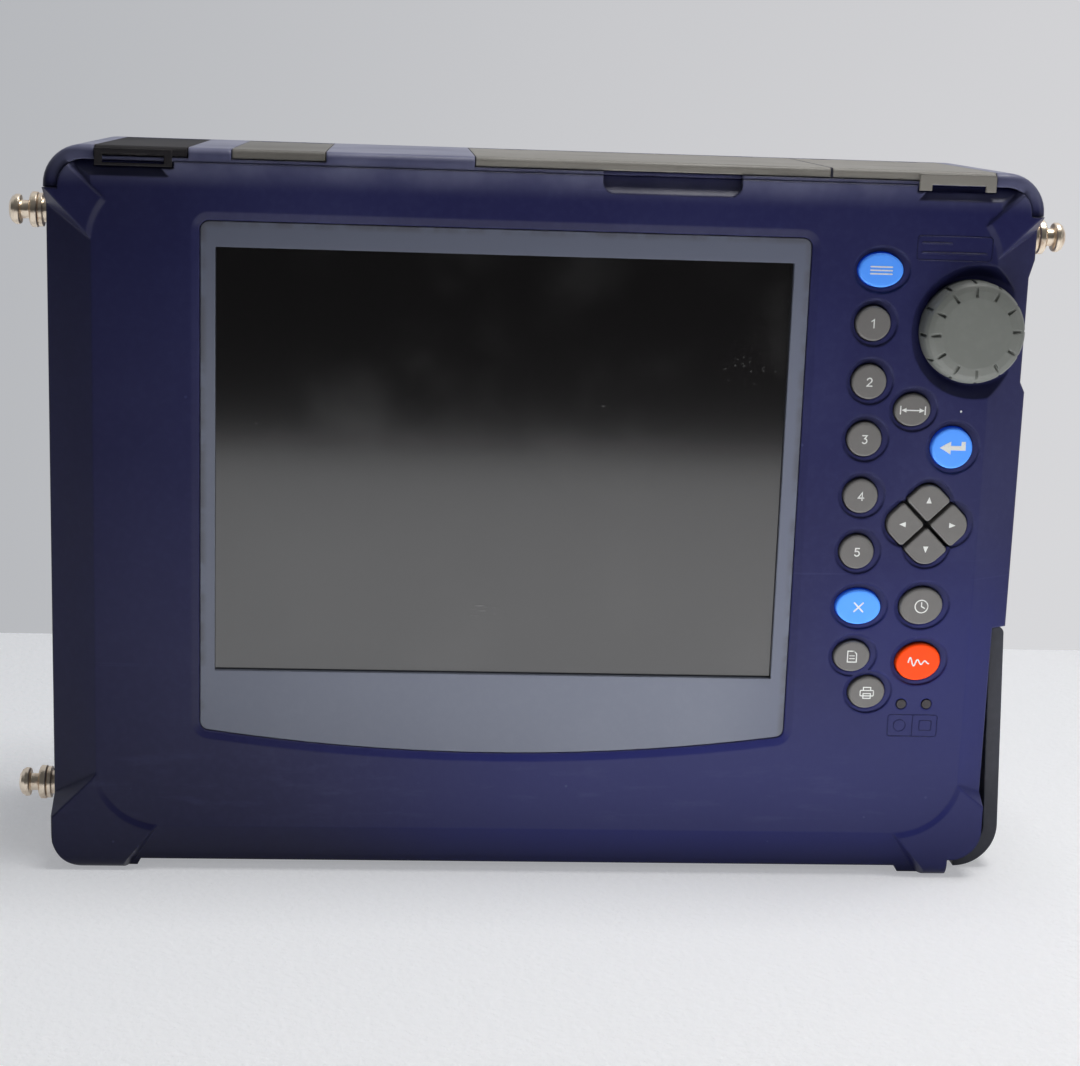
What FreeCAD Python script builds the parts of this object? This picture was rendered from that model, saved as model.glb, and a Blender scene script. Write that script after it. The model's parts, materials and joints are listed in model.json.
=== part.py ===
"""Optical time domain reflectometer: a portable test set in a two-part moulded case.

X runs left to right as the user sees the front, Y runs from the front to the back and Z runs up.
The origin is on the table plane under the middle of the case. All lengths are millimetres.
"""
import FreeCAD, Part
import math
import os
import re
import Sketcher

V = FreeCAD.Vector
DOC = FreeCAD.newDocument("reflectometer")
SHEET = DOC.addObject("Spreadsheet::Sheet", "Dimensions")

# --- driving dimensions ------------------------------------------------------------------------
SIZES = {
    # case
    "case_width": 297,
    "case_height": 222,
    "face_depth": 37.5,          # front face of the plateau, in front of the middle of the case
    "back_depth": 44.2,
    "back_bevel": 2.5,
    "seam_depth": 5,             # joint between the two housings, in front of the middle
    "case_radius": 12,
    "foot_height": 2,
    "wall": 3,
    "face_wall": 5.5,
    "mould_gap": 0.3,            # clearance between neighbouring mouldings
    "frame_gap": 0.1,            # hairline joint between the housings and the top frame
    "front_roll": 5,             # rounding under the front of the feet
    # sloping border round the raised plateau of the front
    "plateau_left": 134.5,
    "plateau_right": 135,
    "plateau_bottom": 14.7,
    "plateau_drop": 8.7,         # top ledges below the lips, down from the top of the case
    "plateau_radius": 20,
    "border_fall": 8,
    "border_fall_top": 4,
    "border_fall_low": 4.8,
    "bumper_rise": 0.9,
    "bumper_draft": 24,
    "bumper_slope": 62,          # slope of the bumpers' inner edges
    # top frame that wraps over the case
    "frame_side": 4.3,
    "frame_top": 4.2,
    "frame_radius": 11.9,
    "frame_drop": 12.7,
    "frame_front": 37.1,
    # display
    "screen_x": -12.5,
    "screen_z": 129,
    "screen_width": 172,
    "screen_height": 129,
    "panel_left": -102.8,
    "panel_right": 78.3,
    "panel_top": 201,
    "panel_bottom": 46,
    "panel_arch": 6.6,
    "panel_sink": 1.0,
    "panel_thick": 1.6,
    "panel_bevel": 2.4,
    "panel_bevel_depth": 0.8,
    "panel_corner": 2.6,
    "glass_thick": 1.4,
    # keys
    "key_gap": 0.35,
    "key_rise": 1.3,
    "key_flange": 1.1,
    "halo_depth": 0.5,
    "halo_width": 1.9,
    "halo_shift": 0.55,
    # rotary knob and its encoder
    "knob_x": 128.4,
    "knob_z": 174.6,
    "knob_radius": 15.5,
    "knob_rise": 6.7,
    "knob_foot": 0.8,
    "well_x": 130.4,
    "well_z": 174.4,
    "well_radius": 20.4,
    "well_floor_radius": 16.8,
    "well_depth": 4.2,
    "boss_radius": 11.8,
    "bushing_radius": 4.4,
    "plunger_radius": 3,
    "shaft_radius": 2,
    "run_gap": 0.05,
    # side door over the lower right corner
    "door_thick": 4.5,
    "door_radius": 13.5,
    "door_top": 80.5,
    "door_gap": 0.5,
    "door_half_depth": 28.5,
    "door_ajar": 2.6,
    "door_pin": 1.5,
    "door_foot": 1.0,
    "door_bottom": 6.0,
    "foot_end": 133.2,
    # covers in the top frame
    "cover_thick": 2.8,
    "hinge_inset": 7,            # axles of the covers, in from the back
    "hinge_drop": 1.7,
    "hinge_radius": 1.6,
    "hinge_pin": 0.9,
    "optical_left": -133.2,
    "optical_right": -106.6,
    "jack_left": -93.6,
    "jack_right": -66.6,
    "card_left": -22.6,
    "card_right": 82.7,
    "ports_left": 83.4,
    "ports_right": 132.6,
    "scallop_left": 15,
    "scallop_right": 56.5,
    # strap studs
    "stud_head": 4.55,
    "stud_neck": 2.75,
    "stud_flange": 5.35,
    "stud_length": 13.7,
    "stud_shank": 2.4,
    # stand on the back
    "stand_width": 150,
    "stand_height": 96,
    "stand_thick": 3.5,
    "stand_top": 150,
    "stand_inset": 1.7,
    # inside
    "boss_low": 12,
    "boss_drop": 16,
    "screw_radius": 1.45,
}

for row, (alias, number) in enumerate(SIZES.items(), 1):
    SHEET.set(f"A{row}", alias)
    SHEET.set(f"B{row}", str(number))
    SHEET.setAlias(f"B{row}", alias)
SHEET.recompute()


def cells(text):
    """Point every dimension name in an expression at its cell in the sheet."""
    return re.sub(r"[a-z_]+", lambda m: "Dimensions." + m.group() if m.group() in SIZES else m.group(),
                  str(text))


WORKING = DOC.addObject("Spreadsheet::Sheet", "Working")


def value(text):
    """Number that an expression in the dimension names stands for."""
    WORKING.set("A1", "=" + cells(text))
    WORKING.recompute()
    return float(WORKING.get("A1"))


# --- sketch and feature helpers ----------------------------------------------------------------
def plane(body, role):
    return next(o for o in body.Origin.OriginFeatures if o.Role == role)


def new_body(name):
    return DOC.addObject("PartDesign::Body", name)


def new_sketch(body, name, role="XZ_Plane", offset="0"):
    """Sketch on one of the body's own planes, moved along the plane's normal by offset."""
    sketch = body.newObject("Sketcher::SketchObject", name)
    sketch.AttachmentSupport = [(plane(body, role), "")]
    sketch.MapMode = "FlatFace"
    sketch.setExpression("AttachmentOffset.Base.z", cells(offset))
    return sketch


def pin_point(sketch, geometry, point, across, up):
    """Tie one point of a sketch to the origin by two dimensions."""
    for kind, text in (("DistanceX", across), ("DistanceY", up)):
        number = value(text)
        index = sketch.addConstraint(Sketcher.Constraint(kind, -1, 1, geometry, point, number))
        sketch.setExpression(f"Constraints[{index}]", cells(text))


def polygon(sketch, points):
    """Closed loop of straight lines through points given as pairs of expressions."""
    first = sketch.GeometryCount
    spots = [V(value(a), value(b), 0) for a, b in points]
    count = len(spots)
    for i in range(count):
        sketch.addGeometry(Part.LineSegment(spots[i], spots[(i + 1) % count]))
    for i in range(count):
        sketch.addConstraint(Sketcher.Constraint("Coincident", first + i, 2, first + (i + 1) % count, 1))
        pin_point(sketch, first + i, 1, *points[i])


def box_loop(sketch, left, right, low, high):
    polygon(sketch, [(left, low), (right, low), (right, high), (left, high)])


def circle(sketch, across, up, radius):
    spot = V(value(across), value(up), 0)
    index = sketch.addGeometry(Part.Circle(spot, V(0, 0, 1), value(radius)))
    pin_point(sketch, index, 3, across, up)
    tie = sketch.addConstraint(Sketcher.Constraint("Radius", index, value(radius)))
    sketch.setExpression(f"Constraints[{tie}]", cells(radius))


def round_loop(sketch, corners):
    """Loop of level and upright lines; corners are (across, up, radius) with 0 for a sharp one."""
    first = sketch.GeometryCount
    spots = [V(value(a), value(b), 0) for a, b, _ in corners]
    radii = [value(r) for _, _, r in corners]
    count = len(corners)
    trim = []
    for i in range(count):
        before = (spots[i - 1] - spots[i]).normalize() * radii[i]
        after = (spots[(i + 1) % count] - spots[i]).normalize() * radii[i]
        trim.append((spots[i] + before, spots[i] + after, spots[i] + before + after))
    lines = [sketch.addGeometry(Part.LineSegment(trim[i][1], trim[(i + 1) % count][0])) for i in range(count)]
    for i, line in enumerate(lines):
        level = abs(spots[i].y - spots[(i + 1) % count].y) < 1e-6
        sketch.addConstraint(Sketcher.Constraint("Horizontal" if level else "Vertical", line))
        kind, text = ("DistanceY", corners[i][1]) if level else ("DistanceX", corners[i][0])
        tie = sketch.addConstraint(Sketcher.Constraint(kind, -1, 1, line, 1, value(text)))
        sketch.setExpression(f"Constraints[{tie}]", cells(text))
    for i in range(count):
        incoming, outgoing = lines[i - 1], lines[i]
        if radii[i] == 0:
            sketch.addConstraint(Sketcher.Constraint("Coincident", incoming, 2, outgoing, 1))
            continue
        start, end, centre = trim[i]
        flip = (start - centre).cross(end - centre).z < 0
        low, high = (end, start) if flip else (start, end)
        angles = [math.atan2(spot.y - centre.y, spot.x - centre.x) for spot in (low, high)]
        arc = sketch.addGeometry(Part.ArcOfCircle(Part.Circle(centre, V(0, 0, 1), radii[i]), *angles))
        begin, finish = (2, 1) if flip else (1, 2)
        sketch.addConstraint(Sketcher.Constraint("Tangent", incoming, 2, arc, begin))
        sketch.addConstraint(Sketcher.Constraint("Tangent", outgoing, 1, arc, finish))
        tie = sketch.addConstraint(Sketcher.Constraint("Radius", arc, radii[i]))
        sketch.setExpression(f"Constraints[{tie}]", cells(corners[i][2]))
    return first


def pad(body, sketch, length, taper=None, reverse=False):
    feature = body.newObject("PartDesign::Pad", sketch.Name + "_pad")
    feature.Profile = sketch
    feature.setExpression("Length", cells(length))
    feature.Reversed = reverse
    if taper:
        feature.setExpression("TaperAngle", "-(" + cells(taper) + ")")
    sketch.Visibility = False
    return feature


def pocket(body, sketch, length=None, reverse=False):
    """Cut against the sketch's normal by length, or right through."""
    feature = body.newObject("PartDesign::Pocket", sketch.Name + "_cut")
    feature.Profile = sketch
    if length is None:
        feature.Type = "ThroughAll"
    else:
        feature.setExpression("Length", cells(length))
    feature.Reversed = reverse
    sketch.Visibility = False
    return feature


def round_edges(body, size, choose, kind="Fillet", depth=None):
    """Round or chamfer the edges of the body's last feature that choose accepts, depth being a second leg."""
    body.recompute(True)
    last = body.Tip
    names = [f"Edge{i}" for i, edge in enumerate(last.Shape.Edges, 1) if choose(edge)]
    feature = body.newObject("PartDesign::" + kind, f"{body.Name}_{kind.lower()}")
    feature.Base = (last, names)
    feature.setExpression("Radius" if kind == "Fillet" else "Size", cells(size))
    if depth:
        feature.ChamferType = "Two distances"
        feature.setExpression("Size2", cells(depth))
    return feature


def box_body(name, x0, x1, y0, y1, z0, z1):
    """Plain block bounded by six expressions, as the first feature of its own body."""
    body = new_body(name)
    sketch = new_sketch(body, name + "_block", "XZ_Plane", f"-({y1})")
    box_loop(sketch, x0, x1, z0, z1)
    pad(body, sketch, f"({y1}) - ({y0})")
    return body


def add_box(body, name, x0, x1, y0, y1, z0, z1):
    sketch = new_sketch(body, name, "XZ_Plane", f"-({y1})")
    box_loop(sketch, x0, x1, z0, z1)
    return pad(body, sketch, f"({y1}) - ({y0})")


def cut_box(body, name, x0, x1, y0, y1, z0, z1):
    sketch = new_sketch(body, name, "XZ_Plane", f"-({y0})")
    box_loop(sketch, x0, x1, z0, z1)
    return pocket(body, sketch, f"({y1}) - ({y0})")


def add_disc(body, name, x, z, radius, y0, y1):
    sketch = new_sketch(body, name, "XZ_Plane", f"-({y1})")
    circle(sketch, x, z, radius)
    return pad(body, sketch, f"({y1}) - ({y0})")


def cut_disc(body, name, x, z, radius, y0, y1):
    sketch = new_sketch(body, name, "XZ_Plane", f"-({y0})")
    circle(sketch, x, z, radius)
    return pocket(body, sketch, f"({y1}) - ({y0})")


def turn(body, name, profile, role="XZ_Plane", axis="V_Axis"):
    """Solid of revolution of a closed profile about one of the sketch's axes."""
    sketch = new_sketch(body, name, role)
    polygon(sketch, profile)
    feature = body.newObject("PartDesign::Revolution", name + "_turn")
    feature.Profile = sketch
    feature.ReferenceAxis = (sketch, [axis])
    feature.Angle = 360
    sketch.Visibility = False
    return feature


def place(item, x="0", y="0", z="0"):
    for axis, text in (("x", x), ("y", y), ("z", z)):
        item.setExpression("Placement.Base." + axis, cells(text))


# --- parts list --------------------------------------------------------------------------------
PIECES = {}


def keep(name, item):
    item.Label = name
    PIECES[name] = item
    return item


# --- keys: name, x, z, half width, half height, tilt in degrees, slot ----------------------------
KEYS = {
    "menu_key": (99.4, 192.3, 6.75, 5.1, 0),
    "soft_key_one": (98.1, 176.3, 5.25, 5.25, 0),
    "soft_key_two": (98.0, 158.6, 5.25, 5.25, 0),
    "soft_key_three": (97.7, 141.0, 5.25, 5.25, 0),
    "soft_key_four": (97.7, 123.4, 5.25, 5.25, 0),
    "soft_key_five": (97.6, 105.9, 5.25, 5.25, 0),
    "scale_key": (111.9, 150.3, 5.5, 4.9, 8),
    "enter_key": (124.9, 138.9, 6.3, 6.3, 0),
    "cancel_key": (99.2, 88.5, 6.95, 5.45, 0),
    "live_key": (118.9, 89.1, 6.7, 5.75, 12),
    "store_key": (98.2, 72.7, 5.6, 4.85, 8),
    "average_key": (119.2, 71.2, 7.0, 5.8, 12),
    "print_key": (103.6, 61.1, 5.65, 5.0, 12),
}
# four-way cluster: centre x and z, side of one square key, half the gap between neighbours
CLUSTER = (118.9, 114.9, 9.74, 0.55)
ARROWS = {"up_key": 90, "right_key": 0, "down_key": 270, "left_key": 180}
LAMPS = {"charge_lamp": (115.0, 57.3), "power_lamp": (123.0, 57.4)}


def oval(name, x, z, half_width, half_height, tilt, y0, y1, grow="0", taper=None):
    """Upright oval prism from y0 at the front to y1 at the back, wider by grow all round."""
    long_way = half_width >= half_height
    ellipse = DOC.addObject("Part::Ellipse", name + "_oval")
    ellipse.setExpression("MajorRadius", cells(f"{max(half_width, half_height) + 0.001} + {grow}"))
    ellipse.setExpression("MinorRadius", cells(f"{min(half_width, half_height)} + {grow}"))
    turn_up = FreeCAD.Rotation(V(1, 0, 0), 90)
    spin = FreeCAD.Rotation(V(0, 1, 0), -tilt if long_way else -tilt - 90)
    ellipse.Placement = FreeCAD.Placement(V(x, 0, z), spin * turn_up)
    place(ellipse, str(x), str(y1), str(z))
    prism = DOC.addObject("Part::Extrusion", name)
    prism.Base = ellipse
    prism.DirMode = "Custom"
    prism.Dir = V(0, -1, 0)
    prism.setExpression("LengthFwd", cells(f"({y1}) - ({y0})"))
    prism.Solid = True
    if taper:
        prism.setExpression("TaperAngle", cells(taper))
    return prism


def joined(name, items):
    fuse = DOC.addObject("Part::MultiFuse", name)
    fuse.Shapes = items
    return fuse


def minus(name, base, tool):
    cut = DOC.addObject("Part::Cut", name)
    cut.Base = base
    cut.Tool = tool
    return cut


def petal(name, angle, y0, y1, inner="0", outer="0"):
    """One quarter of the four-way cluster: a square on its corner, its inner sides drawn out by inner."""
    x, z, side, gap = CLUSTER
    body = new_body(name)
    sketch = new_sketch(body, name + "_outline", "XZ_Plane", f"-({y1})")
    start = f"{gap} - ({inner})"
    step = f"{gap + side} + ({outer})"
    round_loop(sketch, [(start, start, "1"), (step, start, "1.2"), (step, step, "5.2"), (start, step, "1.2")])
    pad(body, sketch, f"({y1}) - ({y0})")
    body.Placement = FreeCAD.Placement(V(x, 0, z), FreeCAD.Rotation(V(0, 1, 0), 45 - angle))
    return body


# --- front housing ------------------------------------------------------------------------------
def housing_outline(sketch, grow="0"):
    """Outline of both housings: feet, door recess at the lower right, neck inside the top frame."""
    half = f"case_width / 2 + {grow}"
    recess = f"case_width / 2 - door_thick - door_gap + {grow}"
    neck = f"case_width / 2 - frame_side - mould_gap + {grow}"
    top = f"case_height - frame_top - frame_gap + {grow}"
    round_loop(sketch, [
        (f"-({half})", f"-({grow})", "case_radius"),
        (f"foot_end + {grow}", f"-({grow})", "0"),
        (f"foot_end + {grow}", f"door_bottom - {grow}", "0"),
        (recess, f"door_bottom - {grow}", "door_radius - door_thick + 0.5"),
        (recess, "door_top + door_gap", "0"),
        (half, "door_top + door_gap", "0"),
        (half, "case_height - frame_drop", "0"),
        (neck, "case_height - frame_drop", "0"),
        (neck, top, "frame_radius - frame_side"),
        (f"-({neck})", top, "frame_radius - frame_side"),
        (f"-({neck})", "case_height - frame_drop", "0"),
        (f"-({half})", "case_height - frame_drop", "0"),
    ])


def trim_to_outline(body, name):
    """Cut away all that lies outside the housing outline."""
    sketch = new_sketch(body, name, "XZ_Plane", "-(back_depth + 10)")
    box_loop(sketch, "-(case_width)", "case_width", "-30", "case_height + 30")
    housing_outline(sketch)
    return pocket(body, sketch, None, reverse=True)


def relieve(body, name):
    """Space between the feet under the case, and the finger relief beside the knob."""
    sketch = new_sketch(body, name + "_arch", "XZ_Plane", "-(back_depth + 10)")
    polygon(sketch, [("-123.2", "-1"), ("119.2", "-1"), ("117.6", "foot_height"), ("-121.6", "foot_height")])
    pocket(body, sketch, None, reverse=True)
    sketch = new_sketch(body, name + "_grip", "XZ_Plane", "-(back_depth + 10)")
    edge = "case_width / 2"
    polygon(sketch, [(f"{edge} + 3", "155.4"), (f"{edge}", "155.4"), (f"{edge} - 1.8", "158.6"),
                     (f"{edge} - 1.8", "190.6"), (f"{edge}", "196"), (f"{edge} + 3", "196")])
    pocket(body, sketch, None, reverse=True)


def front_blank():
    body = box_body("front_blank", "-(case_width / 2)", "case_width / 2", "-face_depth", "-seam_depth",
                    "0", "case_height - frame_top - frame_gap")
    half = "case_width / 2"
    # sloping border: low, left, right, top
    low = new_sketch(body, "border_low", "YZ_Plane", "0 - case_width")
    polygon(low, [("-face_depth - 2", "plateau_bottom + 0.01"), ("-face_depth", "plateau_bottom"),
                  ("-face_depth + border_fall_low", "foot_height"), ("-face_depth + border_fall_low", "-1"),
                  ("-face_depth - 2", "-1")])
    pocket(body, low, None, reverse=True)
    top = new_sketch(body, "border_top", "YZ_Plane", "0 - case_width")
    high = "case_height - frame_top - frame_gap"
    polygon(top, [("-face_depth - 2", "case_height - plateau_drop"),
                  ("-face_depth", "case_height - plateau_drop"),
                  ("-face_depth + border_fall_top", high), ("-face_depth + border_fall_top", f"{high} + 1"),
                  ("-face_depth - 2", f"{high} + 1")])
    pocket(body, top, None, reverse=True)
    # between the ledges the face runs up to the top frame
    brow = new_sketch(body, "brow", "XZ_Plane", "face_depth - border_fall_top - 1")
    polygon(brow, [("-111.4", "case_height - plateau_drop - 0.5"),
                   ("109", "case_height - plateau_drop - 0.5"), ("113.4", high), ("-115.8", high)])
    pad(body, brow, "border_fall_top + 1")
    for name, side, edge in (("border_left", "-1", "plateau_left"), ("border_right", "1", "plateau_right")):
        sketch = new_sketch(body, name, "XY_Plane", "-10")
        polygon(sketch, [(f"{side} * {edge}", "-face_depth - 2"), (f"{side} * {edge}", "-face_depth"),
                         (f"{side} * {half}", "-face_depth + border_fall"),
                         (f"{side} * ({half} + 1)", "-face_depth + border_fall"),
                         (f"{side} * ({half} + 1)", "-face_depth - 2")])
        pocket(body, sketch, None, reverse=True)
    # corner bumpers stand a little proud of the plateau and run out in slanting ramps
    high = "case_height - frame_top"
    left, right = "-plateau_left", "plateau_right"
    bumpers = {
        "bumper_low_left": [(left, "37.1"), (f"-{half} - 4", "19"), (f"-{half} - 4", "-4"), ("-126.1", "-4"),
                            ("-110.4", "plateau_bottom"), ("-112", "36")],
        "bumper_low_right": [("112", "34"), ("109.6", "plateau_bottom"), ("126", "-4"), (f"{half} + 4", "-4"),
                             (f"{half} + 4", "22.5"), (right, "35.8")],
        "bumper_top_left": [(left, "case_height - 33.2"), ("-112", "case_height - 32"),
                            ("-128.2", "case_height - 11.9"), ("-136.8", f"{high}"),
                            ("-138.5", f"{high} + 4"), (f"-{half} - 4", f"{high} + 4"),
                            (f"-{half} - 4", "case_height - 14")],
        "bumper_top_right": [(right, "case_height - 31.2"), (f"{half} + 4", "case_height - 13.5"),
                             (f"{half} + 4", f"{high} + 4"),
                             ("139", f"{high} + 4"), ("137.4", f"{high}"), ("128.6", "case_height - 11.9"),
                             ("112", "case_height - 32")],
    }
    for name, points in bumpers.items():
        sketch = new_sketch(body, name, "XZ_Plane", "face_depth - border_fall - 1")
        polygon(sketch, points)
        pad(body, sketch, "border_fall + 1 + bumper_rise", taper="bumper_draft")
    # the plateau inside the bumpers
    sketch = new_sketch(body, "plateau", "XZ_Plane", "face_depth")
    round_loop(sketch, [(left, "plateau_bottom", "plateau_radius"),
                        (right, "plateau_bottom", "plateau_radius"),
                        (right, "case_height - plateau_drop", "plateau_radius"),
                        (left, "case_height - plateau_drop", "plateau_radius")])
    cut = pocket(body, sketch, "2", reverse=True)
    cut.setExpression("TaperAngle", cells("bumper_slope"))
    trim_to_outline(body, "front_trim")
    # rolled lower and upper front edges
    sketch = new_sketch(body, "front_side", "YZ_Plane", "-(case_width)")
    box_loop(sketch, "-face_depth - 20", "case_height", "-30", "case_height + 30")
    round_loop(sketch, [("-face_depth - bumper_rise", "0", "front_roll"), ("back_depth", "0", "0"),
                        ("back_depth", high, "0"), ("-face_depth - bumper_rise", high, "1.6")])
    pocket(body, sketch, None, reverse=True)
    relieve(body, "front")
    # space inside
    cut_box(body, "front_room", "-131", "134.2", "-face_depth + face_wall", "-seam_depth", "11",
            "case_height - 11.5")
    cut_box(body, "front_hall", "-139.5", "139.5", "-27", "-seam_depth", "5.5",
            "case_height - 9.5")
    cut_box(body, "front_aisle", "-case_width / 2 + wall", "-139", "-27", "-seam_depth", "30",
            "case_height - 32")
    cut_box(body, "encoder_room_cut", "knob_x - 8", "knob_x + 8", "-30", "-seam_depth", "knob_z - 8",
            "knob_z + 8")
    # window for the display, with a bevelled step round the panel
    panel_recess(body, "window_step", "0.25", "-face_depth - 3",
                 "-face_depth + panel_sink + panel_thick + 0.1")
    round_edges(body, "panel_corner + 0.25", lambda e: at_panel_corner(e, 0.25))
    round_edges(body, "panel_bevel", on_panel_rim, "Chamfer", "panel_bevel_depth")
    half_w, half_h = "screen_width / 2 + 1", "screen_height / 2 + 0.95"
    cut_box(body, "window", f"screen_x - ({half_w})", f"screen_x + {half_w}", "-face_depth - 1",
            "-face_depth + face_wall + 1", f"screen_z - ({half_h})", f"screen_z + {half_h}")
    # pillars behind the face
    for i, (x, z) in enumerate(PILLARS):
        add_disc(body, f"front_pillar_{i}", str(x), z, "3.5", "-face_depth + face_wall - 0.5",
                 "-seam_depth - 0.15")
        cut_disc(body, f"front_pilot_{i}", str(x), z, "screw_radius + 0.1", "-26", "-seam_depth")
    for i, (x, z) in enumerate(SCREEN_POSTS):
        add_disc(body, f"screen_post_{i}", x, z, "3", "-face_depth + face_wall - 0.5", "-26.4")
    add_disc(body, "knob_boss", "knob_x", "knob_z", "boss_radius", "-face_depth + face_wall - 0.5", "-30")
    lug(body, "front", "-20")
    return body


PILLARS = [(-136.4, "boss_low"), (-136.4, "case_height - boss_drop"), (136.4, "boss_low"),
           (136.4, "case_height - boss_drop")]
SCREEN_POSTS = [("screen_x - 98", "screen_z - 60"), ("screen_x + 98", "screen_z - 60"),
                ("screen_x - 98", "screen_z + 60"), ("screen_x + 98", "screen_z + 60")]
STUDS = {"left_high": (-1, "case_height - 20.8"), "left_low": (-1, "19.7"),
         "right_high": (1, "case_height - 20.1")}
STUD_Y = -12


def at_panel_corner(edge, grow):
    """Whether an edge runs from front to back at a corner of the panel outline, drawn out by grow."""
    box, middle = edge.BoundBox, edge.CenterOfMass
    sides = (SIZES["panel_left"] - grow, SIZES["panel_right"] + grow)
    return (box.XLength < 0.01 and box.ZLength < 0.01 and min(abs(middle.x - x) for x in sides) < 0.05
            and SIZES["panel_bottom"] - grow - 0.05 < middle.z < SIZES["panel_top"] + grow + 0.05)


def on_panel_rim(edge):
    """Whether an edge lies on the plateau's face round the window step."""
    box, middle, front = edge.BoundBox, edge.CenterOfMass, -SIZES["face_depth"]
    low = SIZES["panel_bottom"] - SIZES["panel_arch"] - 1
    return (abs(box.YMin - front) < 0.01 and abs(box.YMax - front) < 0.01
            and SIZES["panel_left"] - 1 < middle.x < SIZES["panel_right"] + 1
            and low < middle.z < SIZES["panel_top"] + 1)


def panel_recess(body, name, grow, y0, y1, cut=True):
    """Window panel outline, square above and arched below, as a cut or as a plate."""
    sketch = new_sketch(body, name, "XZ_Plane", f"-({y0})" if cut else f"-({y1})")
    left, right = f"panel_left - {grow}", f"panel_right + {grow}"
    high, low = f"panel_top + {grow}", f"panel_bottom - {grow}"
    corners = [(left, high), (left, low), (right, low), (right, high)]
    spots = [V(value(a), value(b), 0) for a, b in corners]
    for i in (0, 2, 3):
        sketch.addGeometry(Part.LineSegment(spots[i], spots[(i + 1) % 4]))
    span = spots[2].x - spots[1].x
    sag = value("panel_arch")
    radius = span * span / (8 * sag) + sag / 2
    centre = V((spots[1].x + spots[2].x) / 2, spots[1].y - sag + radius, 0)
    angles = [math.atan2(spot.y - centre.y, spot.x - centre.x) for spot in (spots[1], spots[2])]
    arc = sketch.addGeometry(Part.ArcOfCircle(Part.Circle(centre, V(0, 0, 1), radius), *angles))
    for first, end, second, begin in ((0, 2, arc, 1), (arc, 2, 1, 1), (1, 2, 2, 1), (2, 2, 0, 1)):
        sketch.addConstraint(Sketcher.Constraint("Coincident", first, end, second, begin))
    for line, corner in ((0, 0), (1, 2), (2, 3)):
        pin_point(sketch, line, 1, *corners[corner])
    pin_point(sketch, 0, 2, *corners[1])
    tie = sketch.addConstraint(Sketcher.Constraint("Radius", arc, radius))
    width = f"({right} - ({left}))"
    sketch.setExpression(f"Constraints[{tie}]",
                         cells(f"{width} * {width} / (8 * panel_arch) + panel_arch / 2"))
    return pocket(body, sketch, f"({y1}) - ({y0})") if cut else pad(body, sketch, f"({y1}) - ({y0})")


HINGE_X = "case_width / 2 - door_thick / 2"
HINGE_Z = "door_top - door_thick / 2"


def lug(body, name, y):
    """Knuckle on the side of a housing that carries the axle of the side door."""
    add_box(body, name + "_lug_root", "139", HINGE_X, f"{y} - 3", f"{y} + 3", f"{HINGE_Z} - 2",
            f"{HINGE_Z} + 2")
    add_disc(body, name + "_lug", HINGE_X, HINGE_Z, "2", f"{y} - 3", f"{y} + 3")
    cut_disc(body, name + "_lug_bore", HINGE_X, HINGE_Z, "door_pin + run_gap", f"{y} - 3", f"{y} + 3")


def disc_tool(name, x, z, radius, y0, y1, low_radius=None):
    """Round or tapered cutter lying along Y, low_radius being that of its back end."""
    kind = "Part::Cone" if low_radius else "Part::Cylinder"
    tool = DOC.addObject(kind, name)
    tool.setExpression("Height", cells(f"({y1}) - ({y0})"))
    if low_radius:
        tool.setExpression("Radius1", cells(radius))
        tool.setExpression("Radius2", cells(low_radius))
    else:
        tool.setExpression("Radius", cells(radius))
    tool.Placement = FreeCAD.Placement(V(0, 0, 0), FreeCAD.Rotation(V(1, 0, 0), -90))
    place(tool, x, y0, z)
    return tool


def side_tool(name, side, y, z, radius, x0, x1):
    """Round cutter lying along X on the given side of the case."""
    tool = DOC.addObject("Part::Cylinder", name)
    tool.setExpression("Radius", cells(radius))
    tool.setExpression("Height", cells(f"({x1}) - ({x0})"))
    tool.Placement = FreeCAD.Placement(V(0, 0, 0), FreeCAD.Rotation(V(0, 1, 0), 90))
    place(tool, x0 if side > 0 else f"-({x1})", str(y), str(z))
    return tool


def box_tool(name, x0, x1, y0, y1, z0, z1):
    tool = DOC.addObject("Part::Box", name)
    for field, low, high in (("Length", x0, x1), ("Width", y0, y1), ("Height", z0, z1)):
        tool.setExpression(field, cells(f"({high}) - ({low})"))
    place(tool, x0, y0, z0)
    return tool


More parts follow.
